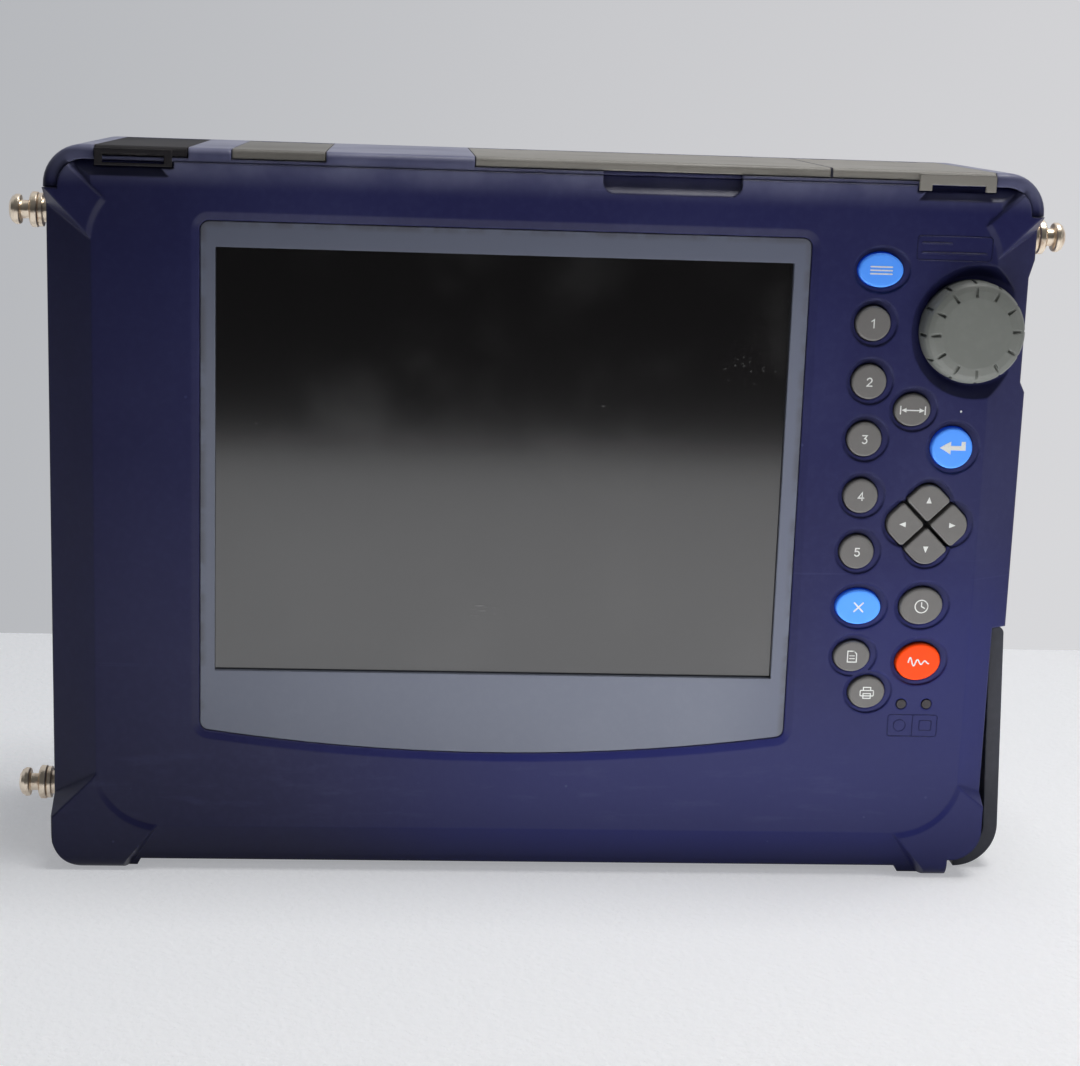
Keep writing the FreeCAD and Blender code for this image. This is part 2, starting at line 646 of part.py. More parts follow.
def control_cutters():
    """Every opening in the face for keys, lamps and the knob."""
    face = "-face_depth"
    tools = []
    for name, (x, z, half_w, half_h, tilt) in KEYS.items():
        tools.append(oval(name + "_hole", x, z, half_w, half_h, tilt, f"{face} - 3",
                          f"{face} + face_wall + 2", "key_gap"))
        tools.append(oval(name + "_halo", x + SIZES["halo_shift"], z, half_w, half_h, tilt, f"{face} - 2",
                          f"{face} + halo_depth", "halo_width"))
    x, z, side, gap = CLUSTER
    for name, angle in ARROWS.items():
        tools.append(petal(name + "_hole", angle, f"{face} - 3", f"{face} + face_wall + 2", "0.56",
                           "key_gap"))
        dx, dz = 6.6 * math.cos(math.radians(angle)), 6.6 * math.sin(math.radians(angle))
        tools.append(oval(name + "_halo", x + dx + 0.4, z + dz, 7.5, 7.5, 0, f"{face} - 2",
                          f"{face} + halo_depth"))
    tools.append(disc_tool("cluster_middle", str(x), str(z), "1.6", f"{face} - 2", f"{face} + face_wall + 2"))
    for name, (x, z) in LAMPS.items():
        tools.append(disc_tool(name + "_hole", str(x), str(z), "1.7", f"{face} - 2",
                               f"{face} + face_wall + 2"))
    tools.append(disc_tool("knob_well", "well_x", "well_z", "well_radius", face, f"{face} + well_depth",
                           "well_floor_radius"))
    tools.append(disc_tool("knob_well_mouth", "well_x", "well_z", "well_radius", f"{face} - 3", face))
    tools.append(disc_tool("bushing_hole", "knob_x", "knob_z", "bushing_radius + 0.3", f"{face} - 1", "-29"))
    return tools


def scoop(name):
    """Finger scallop: a hollow with round lower corners, scooped out along X."""
    low, round_corner = "case_height - 9.4", "3.5"
    hollow = side_tool(name + "_hollow", 1, "-face_depth - 8", "case_height - 0.5", "12", "scallop_left - 1",
                       "scallop_right + 1")
    y0, y1 = "-face_depth - 1", "-face_depth + 6"
    blocks = [
        box_tool(name + "_wide", "scallop_left", "scallop_right", y0, y1, f"{low} + {round_corner}",
                 "case_height"),
        box_tool(name + "_deep", f"scallop_left + {round_corner}", f"scallop_right - {round_corner}", y0, y1,
                 low, "case_height"),
        disc_tool(name + "_left", f"scallop_left + {round_corner}", f"{low} + {round_corner}", round_corner,
                  y0, y1),
        disc_tool(name + "_right", f"scallop_right - {round_corner}", f"{low} + {round_corner}",
                  round_corner, y0, y1),
    ]
    both = DOC.addObject("Part::MultiCommon", name)
    both.Shapes = [hollow, joined(name + "_window", blocks)]
    return both


def front_housing():
    blank = front_blank()
    face = "-face_depth"
    tools = control_cutters()
    for name, (side, z) in STUDS.items():
        tools.append(side_tool("stud_hole_" + name, side, STUD_Y, z, "stud_shank + 0.1",
                               "case_width / 2 - 7.5", "case_width / 2 + 5"))
    # finger scallop below the card door and notches for the lips of the end covers
    tools.append(scoop("scallop"))
    tools.append(box_tool("optical_notch", "optical_left - 0.6", "-110.4", f"{face} - 2", f"{face} + 3.6",
                          "case_height - 6.3", "case_height"))
    tools.append(box_tool("ports_notch", "109", "ports_right + 0.6", f"{face} - 2", f"{face} + 3.6",
                          "case_height - 6.3", "case_height"))
    return keep("front_housing", minus("front_housing", blank, joined("front_openings", tools)))



# --- rear housing ---------------------------------------------------------------------------------
STANDOFFS = [(-120, 32), (70, 32), (70, 200), (-60, 200)]
BOARD_Y = -8.4
PACK = {"x0": "-56", "x1": "56", "y0": "15", "y1": "back_depth - 3.2", "z0": "17", "z1": "81"}


def back_bevel(body):
    """Bevel along the four sides of the back."""
    half, size = "case_width / 2", "back_bevel"
    high = "case_height - frame_top - frame_gap"
    for name, role, low, edge in (("left", "XY_Plane", f"-({half})", "-1"), ("right", "XY_Plane", half, "1"),
                                  ("low", "YZ_Plane", "0", "-1"), ("high", "YZ_Plane", high, "1")):
        sketch = new_sketch(body, "back_bevel_" + name, role, "-10" if role == "XY_Plane" else "-case_width")
        spots = [(f"{low} + {edge}", f"back_depth - {size} - 1"), (f"{low} + {edge}", "back_depth + 1"),
                 (f"{low} - {edge} * ({size} + 1)", "back_depth + 1")]
        polygon(sketch, spots if role == "XY_Plane" else [(up, across) for across, up in spots])
        pocket(body, sketch, None, reverse=True)


def rear_housing():
    body = box_body("rear_blank", "-(case_width / 2)", "case_width / 2", "-seam_depth", "back_depth", "0",
                    "case_height - frame_top - frame_gap")
    trim_to_outline(body, "rear_trim")
    relieve(body, "rear")
    back_bevel(body)
    back = "back_depth - wall - 0.5"
    cut_box(body, "rear_hall", "-139.5", "139.5", "-seam_depth", back, "5.5", "case_height - 9.5")
    cut_box(body, "rear_aisle", "-case_width / 2 + wall", "-139", "-seam_depth", back, "16",
            "case_height - 17")
    # openings in the top wall below the covers
    for name, (x0, x1, y0, y1) in TOP_WINDOWS.items():
        cut_box(body, "rear_window_" + name, x0, x1, y0, y1, "case_height - 11", "case_height")
    # opening behind the side door
    cut_box(body, "rear_side_port", "135", "case_width / 2", "0.5", "23.5", "24", "70")
    # battery bay with a ledge for its cover
    cut_box(body, "bay_mouth", "-62", "62", "back_depth - 2.7", "back_depth + 1", "13", "85")
    cut_box(body, "bay", "-58", "58", "back_depth - 9.5", "back_depth + 1", "15.5", "82.5")
    # stand recess
    x, top = "stand_width / 2", "stand_top"
    add_box(body, "stand_backing", f"-({x}) - 6", f"{x} + 6", "back_depth - 6.5", f"{back} + 0.5",
            f"{top} - stand_height / 2 - 4.5", f"{top} + 5")
    cut_box(body, "stand_recess", f"-({x}) - 0.4", f"{x} + 0.4", "back_depth - stand_thick - 0.4",
            "back_depth + 1", f"{top} - stand_height / 2", f"{top} + 0.6")
    cut_box(body, "stand_thumb", "-14", "14", "back_depth - stand_thick - 0.4", "back_depth + 1",
            f"{top} - stand_height / 2 - 3.5", f"{top} - stand_height / 2 + 1")
    sketch = new_sketch(body, "stand_socket", "YZ_Plane", f"-({x}) - 3")
    circle(sketch, "back_depth - stand_inset", f"{top} - 1.6", "1.1 + run_gap")
    pocket(body, sketch, "stand_width + 6", reverse=True)
    # pillars for the case screws and the main board
    for i, (px, pz) in enumerate(PILLARS):
        add_disc(body, f"rear_pillar_{i}", str(px), pz, "3.5", "-seam_depth", f"{back} + 0.2")
        cut_disc(body, f"rear_clear_{i}", str(px), pz, "screw_radius + 0.3", "-seam_depth - 1",
                 "back_depth + 1")
        cut_disc(body, f"rear_sink_{i}", str(px), pz, "3.1", "back_depth - 2.8", "back_depth + 1")
    for i, (px, pz) in enumerate(STANDOFFS):
        add_disc(body, f"standoff_{i}", str(px), str(pz), "2.6", f"{BOARD_Y} + 0.05", f"{back} + 0.2")
    lug(body, "rear", "17")
    return keep("rear_housing", body)


# --- top frame and its covers -----------------------------------------------------------------------
COVERS = {
    "optical_cover": ("optical_left", "optical_right", 4),
    "jack_cover": ("jack_left", "jack_right", 4),
    "card_cover": ("card_left", "card_right", 12),
    "ports_cover": ("ports_left", "ports_right", 7),
}
LUG = 6
TOP_WINDOWS = {
    "optical": ("-133", "-107", "-4.9", "9"),
    "jack": ("-88", "-72", "-4.9", "9"),
    "card": ("2", "60", "1", "13"),
    "ports": ("91", "125", "-4.9", "9"),
}


def lug_places(x0, x1, inset):
    """Left edges of the two hinge lugs of a cover."""
    return (f"{x0} + {inset}", f"{x1} - {inset} - {LUG}")


def top_frame():
    body = new_body("top_frame")
    sketch = new_sketch(body, "frame_band", "XZ_Plane", "-(back_depth)")
    half, low = "case_width / 2", "case_height - frame_drop + 0.2"
    inner, under = f"{half} - frame_side", "case_height - frame_top"
    bend = "frame_radius - frame_side"
    round_loop(sketch, [
        (f"-({half})", low, "0"), (f"-({inner})", low, "0"), (f"-({inner})", under, bend),
        (inner, under, bend), (inner, low, "0"), (half, low, "0"), (half, "case_height", "frame_radius"),
        (f"-({half})", "case_height", "frame_radius"),
    ])
    pad(body, sketch, "back_depth + frame_front")
    ends = (-SIZES["frame_front"], SIZES["back_depth"])
    reach = SIZES["case_width"] / 2

    def rim(edge):
        middle = edge.valueAt((edge.FirstParameter + edge.LastParameter) / 2)
        if edge.BoundBox.YLength > 0.01 or min(abs(middle.y - end) for end in ends) > 0.01:
            return False
        if isinstance(edge.Curve, Part.Circle):
            return abs(edge.Curve.Radius - SIZES["frame_radius"]) < 0.01
        return abs(middle.z - SIZES["case_height"]) < 0.01 or abs(abs(middle.x) - reach) < 0.01

    round_edges(body, "2.4", rim)
    for name, (x0, x1, inset) in COVERS.items():
        gap = "mould_gap"
        cut_box(body, name + "_bed", f"{x0} - {gap}", f"{x1} + {gap}", "-frame_front - 1",
                "back_depth - hinge_inset + 2.3", "case_height - cover_thick - 0.3", "case_height + 1")
        cut_box(body, name + "_trough", f"{x0} - {gap}", f"{x1} + {gap}", "back_depth - hinge_inset - 2.3",
                "back_depth - hinge_inset + 2.3", "case_height - hinge_drop - 2", "case_height + 1")
        for i, x in enumerate(lug_places(x0, x1, inset)):
            add_box(body, f"{name}_stem_{i}", x, f"{x} + {LUG}", "back_depth - hinge_inset - 1.5",
                    "back_depth - hinge_inset + 2.5", "case_height - hinge_drop - 2.1",
                    "case_height - hinge_drop")
            for kind, radius in (("lug", "1.5"), ("bore", "hinge_pin + run_gap")):
                round_sketch = new_sketch(body, f"{name}_{kind}_{i}", "YZ_Plane", x)
                circle(round_sketch, "back_depth - hinge_inset", "case_height - hinge_drop", radius)
                if kind == "lug":
                    pad(body, round_sketch, str(LUG))
                else:
                    pocket(body, round_sketch, str(LUG), reverse=True)
    for name, (x0, x1, y0, y1) in TOP_WINDOWS.items():
        cut_box(body, "frame_window_" + name, x0, x1, y0, y1, "case_height - 11", "case_height + 1")
    cut_box(body, "frame_scallop", "scallop_left", "scallop_right", "-frame_front - 1", "-frame_front + 2.6",
            "case_height - 11", "case_height + 1")
    return keep("top_frame", body)


def cover(name, x0, x1, inset):
    """Hinged cover: plate, knuckle along its back edge, and an axle bared where the lugs hold it."""
    body = box_body(name, x0, x1, "-frame_front + 0.4", "back_depth - hinge_inset",
                    "case_height - cover_thick", "case_height")
    front = -SIZES["frame_front"] + 0.4
    round_edges(body, "1.5", lambda e: abs(e.CenterOfMass.y - front) < 0.01
                and abs(e.CenterOfMass.z - SIZES["case_height"]) < 0.01)
    for kind, radius, start, end in (("knuckle", "hinge_radius", x0, x1),):
        sketch = new_sketch(body, f"{name}_{kind}", "YZ_Plane", start)
        circle(sketch, "back_depth - hinge_inset", "case_height - hinge_drop", radius)
        pad(body, sketch, f"{end} - ({start})")
    for i, x in enumerate(lug_places(x0, x1, inset)):
        cut_box(body, f"{name}_notch_{i}", f"{x} - 0.3", f"{x} + {LUG + 0.3}",
                "back_depth - hinge_inset - 2.1", "back_depth - hinge_inset + 3",
                "case_height - hinge_drop - 4", "case_height + 1")
    sketch = new_sketch(body, f"{name}_axle", "YZ_Plane", f"{x0} + 1")
    circle(sketch, "back_depth - hinge_inset", "case_height - hinge_drop", "hinge_pin")
    pad(body, sketch, f"{x1} - ({x0}) - 2")
    if name in LIPS:
        left, right, slot_left, slot_right, slot_low, slot_high = LIPS[name]
        add_box(body, name + "_lip", left, right, "-frame_front - 0.9", "-frame_front - 0.1",
                "case_height - 5.8", "case_height - 0.9")
        add_box(body, name + "_lip_root", left, right, "-frame_front - 0.3", "-frame_front + 2",
                "case_height - cover_thick", "case_height - 0.9")
        cut_box(body, name + "_lip_slot", slot_left, slot_right, "-frame_front - 3", "-frame_front + 0.3",
                slot_low, slot_high)
    return keep(name, body)


LIPS = {
    "optical_cover": ("optical_left", "-110.9", "-131", "-113.2", "case_height - 5", "case_height - 2.3"),
    "ports_cover": ("109.4", "ports_right", "113.2", "129.5", "case_height - 6.5", "case_height - 4"),
}


def strap_studs():
    """Turned studs for the carrying strap, each with a washer under its flange."""
    for name, (side, z) in STUDS.items():
        body = new_body("strap_stud_" + name)
        turn(body, "stud_" + name, [
            ("-7", "0"), ("-7", "stud_shank"), ("4.7", "stud_shank"), ("4.7", "stud_flange - 0.5"),
            ("5.2", "stud_flange"), ("6.8", "stud_flange"), ("7.3", "stud_flange - 0.6"),
            ("7.5", "stud_neck"),
            ("stud_length - 3.7", "stud_neck"), ("stud_length - 3.5", "stud_head - 0.3"),
            ("stud_length - 3.1", "stud_head"), ("stud_length - 2", "stud_head"),
            ("stud_length - 0.9", "stud_head - 0.7"), ("stud_length - 0.2", "stud_head - 1.9"),
            ("stud_length", "stud_head - 3.2"), ("stud_length", "0"),
        ], "XZ_Plane", "H_Axis")
        washer = new_body("strap_washer_" + name)
        bore = "stud_shank + 0.15"
        turn(washer, "washer_" + name, [("0.02", bore), ("4.65", bore), ("4.65", "stud_flange - 0.3"),
                                        ("3.5", "stud_flange - 0.3"), ("3.5", "stud_neck + 1"),
                                        ("0.02", "stud_neck + 1")], "XZ_Plane", "H_Axis")
        for item in (body, washer):
            turned = FreeCAD.Rotation(V(0, 0, 1), 0 if side > 0 else 180)
            item.Placement = FreeCAD.Placement(V(0, 0, 0), turned)
            place(item, f"{side} * case_width / 2", str(STUD_Y), z)
            keep(item.Name, item)


# --- side door ----------------------------------------------------------------------------------------
def side_door():
    """Cover hooked round the lower right corner, drawn about its hinge and set a little ajar."""
    body = new_body("side_door")
    sketch = new_sketch(body, "door_section", "XZ_Plane", "-(door_half_depth)")
    outer, inner = "door_thick / 2", "-door_thick / 2"
    floor = f"door_foot - ({HINGE_Z})"
    end = f"foot_end + 1.2 - ({HINGE_X})"
    round_loop(sketch, [(inner, "0", "0"), (inner, f"{floor} + door_thick", "door_radius - door_thick"),
                        (end, f"{floor} + door_thick", "0"), (end, floor, "0"),
                        (outer, floor, "door_radius"), (outer, "0", "0")])
    pad(body, sketch, "2 * door_half_depth")
    add_disc(body, "door_knuckle", "0", "0", "door_thick / 2", "-door_half_depth", "door_half_depth")
    for i, y in enumerate(("-20", "17")):
        cut_box(body, f"door_notch_{i}", "-door_thick", "door_thick", f"{y} - 3.4", f"{y} + 3.4", "-2.8", "4")
    add_disc(body, "door_axle", "0", "0", "door_pin", "-door_half_depth + 1", "door_half_depth - 1")
    # moulded ribs inside
    for i, y in enumerate(("-9", "9")):
        add_box(body, f"door_rib_{i}", inner + " - 0.25", inner + " + 0.1", f"{y} - 1", f"{y} + 1", "-55",
                "-10")
    body.Placement = FreeCAD.Placement(V(0, 0, 0), FreeCAD.Rotation(V(0, -1, 0), SIZES["door_ajar"]))
    place(body, HINGE_X, "0", HINGE_Z)
    body.setExpression("Placement.Rotation.Angle", cells("door_ajar"))
    return keep("side_door", body)


# --- display stack -------------------------------------------------------------------------------------
def display():
    sink = "-face_depth + panel_sink"
    panel = new_body("display_panel")
    panel_recess(panel, "panel_plate", "0", sink, f"{sink} + panel_thick", cut=False)
    round_edges(panel, "panel_corner", lambda e: at_panel_corner(e, 0))
    cut_box(panel, "panel_opening", "screen_x - screen_width / 2", "screen_x + screen_width / 2",
            f"{sink} - 1",
            f"{sink} + panel_thick + 1", "screen_z - screen_height / 2", "screen_z + screen_height / 2")
    keep("display_panel", panel)
    half_w, half_h = "screen_width / 2 + 0.6", "screen_height / 2 + 0.6"
    glass_y = f"{sink} + panel_thick + 0.1"
    keep("screen_glass", box_body("screen_glass", f"screen_x - ({half_w})", f"screen_x + {half_w}", glass_y,
                                  f"{glass_y} + glass_thick", f"screen_z - ({half_h})",
                                  f"screen_z + {half_h}"))
    module = box_body("screen_module", "screen_x - 93", "screen_x + 93", "-31.6", "-26.6", "screen_z - 71",
                      "screen_z + 71")
    add_box(module, "module_face", "screen_x - 85.2", "screen_x + 85.2", "-33.1", "-31.5", "screen_z - 63.6",
            "screen_z + 63.6")
    keep("screen_module", module)
    bracket = box_body("screen_bracket", "screen_x - 101", "screen_x + 101", "-26.35", "-25.15",
                       "screen_z - 73", "screen_z + 73")
    cut_box(bracket, "bracket_hole", "screen_x - 80", "screen_x + 80", "-28", "-24", "screen_z - 56",
            "screen_z + 56")
    add_box(bracket, "bracket_flange_low", "screen_x - 90", "screen_x + 90", "-25.2", "-20", "screen_z - 73",
            "screen_z - 71.8")
    add_box(bracket, "bracket_flange_high", "screen_x - 90", "screen_x + 90", "-25.2", "-20",
            "screen_z + 71.8", "screen_z + 73")
    keep("screen_bracket", bracket)


# --- keys, lamps and the boards behind them --------------------------------------------------------------
def softened(name, solid, radius, front):
    """Solid with the rim of its front face rounded."""
    DOC.recompute([solid])
    rims = [i for i, e in enumerate(solid.Shape.Edges, 1) if abs(e.CenterOfMass.y - front) < 0.01
            and e.BoundBox.YLength < 0.01]
    soft = DOC.addObject("Part::Fillet", name)
    soft.Base = solid
    soft.Edges = [(i, radius, radius) for i in rims]
    return soft


def keypad():
    face = "-face_depth"
    behind = f"{face} + face_wall + 0.1"
    front = -SIZES["face_depth"] - SIZES["key_rise"]
    for name, (x, z, half_w, half_h, tilt) in KEYS.items():
        cap = oval(name + "_cap", x, z, half_w, half_h, tilt, f"{face} - key_rise", f"{behind} + 0.2")
        flange = oval(name + "_flange", x, z, half_w, half_h, tilt, behind, f"{behind} + 1",
                      "key_flange - 0.2")
        keep(name, joined(name, [softened(name + "_soft", cap, 0.7, front), flange]))
    for name, angle in ARROWS.items():
        cap = petal(name + "_cap", angle, f"{face} - key_rise", f"{behind} + 0.2")
        flange = petal(name + "_flange", angle, behind, f"{behind} + 1", "0", "1.3")
        keep(name, joined(name, [softened(name + "_soft", cap, 0.5, front), flange]))
    for name, (x, z) in LAMPS.items():
        lens = disc_tool(name + "_lens", str(x), str(z), "1.45", f"{face} - 0.25", "-31.5")
        foot = disc_tool(name + "_foot", str(x), str(z), "2.3", "-31.9", "-30.2")
        keep(name, joined(name, [lens, foot]))
    mat = box_body("keypad_mat", "88.9", "131.6", "-29.2", "-28.2", "50", "199.5")
    for i, (x, z) in enumerate(key_centres()):
        add_disc(mat, f"dome_{i}", str(x), str(z), "2.4", "-29.8", "-29.1")
    board = box_body("key_board", "88.9", "131.6", "-28.1", "-26.5", "50", "199.5")
    for item, y0 in ((mat, "-31"), (board, "-29")):
        cut_disc(item, item.Name + "_clear", "knob_x", "knob_z", "boss_radius + 0.7", y0, "-26")
    keep("keypad_mat", mat)
    keep("key_board", board)


def key_centres():
    centres = [(x, z) for x, z, *_ in KEYS.values()]
    x, z, side, gap = CLUSTER
    reach = 0.7071 * side
    for angle in ARROWS.values():
        centres.append((x + reach * math.cos(math.radians(angle)), z + reach * math.sin(math.radians(angle))))
    return centres


# --- knob and encoder -----------------------------------------------------------------------------------
def encoder():
    floor = "-face_depth + well_depth"
    boss_back = -30
    case = box_body("encoder_body", "knob_x - 7", "knob_x + 7", f"{boss_back} + 0.1", "-20", "knob_z - 7",
                    "knob_z + 7")
    add_disc(case, "bushing", "knob_x", "knob_z", "bushing_radius", "-36.6", f"{boss_back} + 0.2")
    cut_disc(case, "bushing_bore", "knob_x", "knob_z", "plunger_radius + run_gap", "-38", "-27")
    cut_disc(case, "encoder_room", "knob_x", "knob_z", "5", "-27.5", "-21.5")
    keep("encoder_body", case)
    nut = new_body("encoder_nut")
    sketch = new_sketch(nut, "nut_flats", "XZ_Plane", f"-({floor}) + 0.1")
    points = []
    for i in range(6):
        angle = math.radians(60 * i)
        points.append((f"knob_x + {5.6 * math.cos(angle):.3f}", f"knob_z + {5.6 * math.sin(angle):.3f}"))
    polygon(sketch, points)
    pad(nut, sketch, "1.9")
    cut_disc(nut, "nut_bore", "knob_x", "knob_z", "bushing_radius + 0.1", "-37", "-33")
    keep("encoder_nut", nut)
    plunger = new_body("encoder_plunger")
    add_disc(plunger, "plunger_tube", "knob_x", "knob_z", "plunger_radius", "-36.9", "-26.4")
    add_disc(plunger, "plunger_flange", "knob_x", "knob_z", "4.6", "-27.4", "-26.4")
    cut_disc(plunger, "plunger_bore", "knob_x", "knob_z", "shaft_radius + run_gap", "-38", "-25")
    keep("encoder_plunger", plunger)
    shaft = new_body("encoder_shaft")
    add_disc(shaft, "shaft_rod", "knob_x", "knob_z", "shaft_radius", "-42.3", "-24.5")
    add_disc(shaft, "shaft_collar", "knob_x", "knob_z", "3.2", "-26.3", "-25.3")
    keep("encoder_shaft", shaft)


def knob():
    """Turned knob with a rounded crown, a recess over the nut and twelve finger notches."""
    body = new_body("rotary_knob")
    radius, front, foot = "knob_radius", "face_depth + knob_rise", "face_depth - well_depth + knob_foot"
    turn(body, "knob", [
        ("0", front), (f"{radius} - 5", front), (f"{radius} - 2.6", f"{front} - 0.35"),
        (f"{radius} - 1.1", f"{front} - 1.2"), (f"{radius} - 0.3", f"{front} - 2.5"),
        (radius, f"{front} - 4.2"),
        (f"{radius}", f"{foot} + 0.6"), (f"{radius} - 0.6", foot), ("8.8", foot), ("8.8", "37.15"),
        ("shaft_radius + 0.03", "37.15"), ("shaft_radius + 0.03", "42.35"), ("0", "42.35"),
    ], "XZ_Plane", "V_Axis")
    cuts = []
    for name, reach, low in (("side", f"{radius} - 0.7", "face_depth - 1"),
                             ("crown", f"{radius} - 4.6", f"{front} - 0.9")):
        slot = new_sketch(body, "notch_" + name, "XZ_Plane", reach)
        box_loop(slot, "-0.42", "0.42", low, f"{front} + 1")
        cuts.append(pocket(body, slot, "8", reverse=True))
    turned = body.newObject("PartDesign::PolarPattern", "knob_notches")
    turned.Originals = cuts
    turned.Axis = (plane(body, "Z_Axis"), [""])
    turned.Angle = 360
    turned.Occurrences = 12
    body.Tip = turned
    spin = FreeCAD.Rotation(V(1, 0, 0), 90)
    body.Placement = FreeCAD.Placement(V(0, 0, 0), spin * FreeCAD.Rotation(V(0, 0, 1), 4))
    place(body, "knob_x", "0", "knob_z")
    return keep("rotary_knob", body)


# --- stand, battery and the parts inside ------------------------------------------------------------------
def stand():
    top = "stand_top"
    y0, y1 = "back_depth - stand_thick + 0.1", "back_depth"
    body = box_body("tilt_stand", "-(stand_width / 2)", "stand_width / 2", y0, y1,
                    f"{top} - stand_height / 2 + 0.8", f"{top} - 1.6")
    cut_box(body, "stand_gap", "-(stand_width / 2) + 12", "stand_width / 2 - 12", "back_depth - 6",
            "back_depth + 2", f"{top} - stand_height / 2 + 14", f"{top} - 12")
    for kind, radius, side in (("barrel", "stand_thick / 2 - 0.05", "0"), ("axle", "1.1", "2.4")):
        sketch = new_sketch(body, "stand_" + kind, "YZ_Plane", f"-(stand_width / 2) - {side}")
        circle(sketch, "back_depth - stand_inset", f"{top} - 1.6", radius)
        pad(body, sketch, f"stand_width + 2 * {side}")
    return keep("tilt_stand", body)


def inside():
    keep("battery_pack", box_body("battery_pack", *PACK.values()))
    door = box_body("battery_cover", "-61.6", "61.6", "back_depth - 2.5", "back_depth", "13.4", "84.6")
    cut_box(door, "battery_grip", "-16", "16", "back_depth - 1", "back_depth + 1", "76", "81")
    keep("battery_cover", door)
    board = box_body("main_board", "-126", "76", f"{BOARD_Y} - 1.6", str(BOARD_Y), "25",
                     "case_height - 16")
    add_box(board, "shield_can", "-60", "-15", f"{BOARD_Y} - 6", f"{BOARD_Y} - 1.5", "100", "150")
    add_box(board, "processor", "5", "33", f"{BOARD_Y} - 4", f"{BOARD_Y} - 1.5", "110", "138")
    for i in range(4):
        add_box(board, f"memory_{i}", f"{-100 + 22 * i}", f"{-86 + 22 * i}", f"{BOARD_Y} - 3.2",
                f"{BOARD_Y} - 1.5", "60", "72")
    keep("main_board", board)
    module = box_body("optical_module", "-131", "-85", "8", "36", "120", "186")
    add_box(module, "module_lid", "-129", "-87", "7.2", "8.1", "122", "184")
    for i, (x, z) in enumerate(((-126, 125), (-90, 125), (-126, 181), (-90, 181))):
        add_disc(module, f"module_foot_{i}", str(x), str(z), "3", "35.8", "back_depth - wall - 0.55")
    keep("optical_module", module)
    adapter = box_body("optical_adapter", "-132", "-108", "-4", "8", "case_height - 12.1",
                       "case_height - 9.7")
    for i, x in enumerate(("-126", "-114")):
        for kind, radius, drop, tall in (("barrel", "4.4", "35", "31.4"), ("collar", "5.3", "22", "10")):
            sketch = new_sketch(adapter, f"adapter_{kind}_{i}", "XY_Plane", f"case_height - {drop}")
            circle(sketch, x, "2", radius)
            pad(adapter, sketch, tall)
        sketch = new_sketch(adapter, f"adapter_bore_{i}", "XY_Plane", "case_height - 3.6")
        circle(sketch, x, "2", "3.4")
        pocket(adapter, sketch, "9")
        sketch = new_sketch(adapter, f"adapter_ferrule_{i}", "XY_Plane", "case_height - 13")
        circle(sketch, x, "2", "1.6")
        pad(adapter, sketch, "8")
    keep("optical_adapter", adapter)
    jack = box_body("charge_socket", "-87", "-73", "-3.5", "7.5", "case_height - 23", "case_height - 3.7")
    sketch = new_sketch(jack, "socket_mouth", "XY_Plane", "case_height - 3.7")
    circle(sketch, "-80", "2", "3.1")
    pocket(jack, sketch, "12")
    sketch = new_sketch(jack, "socket_pin", "XY_Plane", "case_height - 16")
    circle(sketch, "-80", "2", "1")
    pad(jack, sketch, "10")
    keep("charge_socket", jack)
    cage = box_body("card_cage", "2.6", "59.4", "2", "12", "case_height - 70", "case_height - 3.8")
    cut_box(cage, "card_slot", "4", "58", "4.2", "9.8", "case_height - 66", "case_height - 3")
    keep("card_cage", cage)
    ports = box_body("serial_port", "92", "124", "-4", "8", "case_height - 17", "case_height - 7")
    add_box(ports, "port_shell", "98", "118", "-2.2", "6.2", "case_height - 8", "case_height - 3.7")
    cut_box(ports, "port_mouth", "99", "117", "-1.2", "5.2", "case_height - 10", "case_height - 3")
    add_box(ports, "port_core", "101", "115", "0.4", "3.6", "case_height - 11", "case_height - 5.5")
    keep("serial_port", ports)
    side = box_body("printer_port", "128", "139", "2", "22", "25", "69")
    add_box(side, "printer_flange", "138", "139.4", "-1", "25", "22", "72")
    add_box(side, "printer_shell", "138", "142", "5.5", "18.5", "31", "63")
    cut_box(side, "printer_mouth", "138.2", "143", "6.5", "17.5", "32", "62")
    add_box(side, "printer_core", "138", "141", "9.5", "14.5", "34", "60")
    keep("printer_port", side)
    for i, (x, z) in enumerate(PILLARS):
        screw = new_body(f"case_screw_{i + 1}")
        add_disc(screw, f"screw_shank_{i}", str(x), z, "screw_radius", "-22", "back_depth - 2.4")
        add_disc(screw, f"screw_head_{i}", str(x), z, "2.8", "back_depth - 2.6", "back_depth - 0.6")
        cut_box(screw, f"screw_drive_{i}", f"{x} - 0.5", f"{x} + 0.5", "back_depth - 1.6", "back_depth",
                f"{z} - 2", f"{z} + 2")
        keep(screw.Name, screw)


def finish():
    """Check every piece and write one STEP file for each."""
    DOC.recompute()
    DOC.removeObject("Working")
    faults = [o.Name for o in DOC.Objects if "Invalid" in o.State or "Error" in o.State]
    faults += [name for name, item in PIECES.items() if item.Shape.isNull() or not item.Shape.isValid()
               or not item.Shape.Solids]
    if faults:
        raise RuntimeError("pieces not built: " + ", ".join(faults))
    os.makedirs("parts", exist_ok=True)
    for name, item in PIECES.items():
        item.Shape.exportStep(f"parts/{name}.step")
    split = [name for name, item in PIECES.items() if len(item.Shape.Solids) > 1]
    print(len(PIECES), "pieces written", "in more than one solid:", split)


front_housing()
rear_housing()
top_frame()
for cover_name, (cover_left, cover_right, cover_inset) in COVERS.items():
    cover(cover_name, cover_left, cover_right, cover_inset)
strap_studs()
side_door()
display()
keypad()
encoder()
knob()
stand()
inside()
finish()
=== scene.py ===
"""Looks of an optical time domain reflectometer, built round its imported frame.

The frame holds every part with a real shape. This script gives each of them its finish, adds the
printed signs, the raised legend frames and the marker dot, and sets the table, the wall, the light
and the camera.
"""

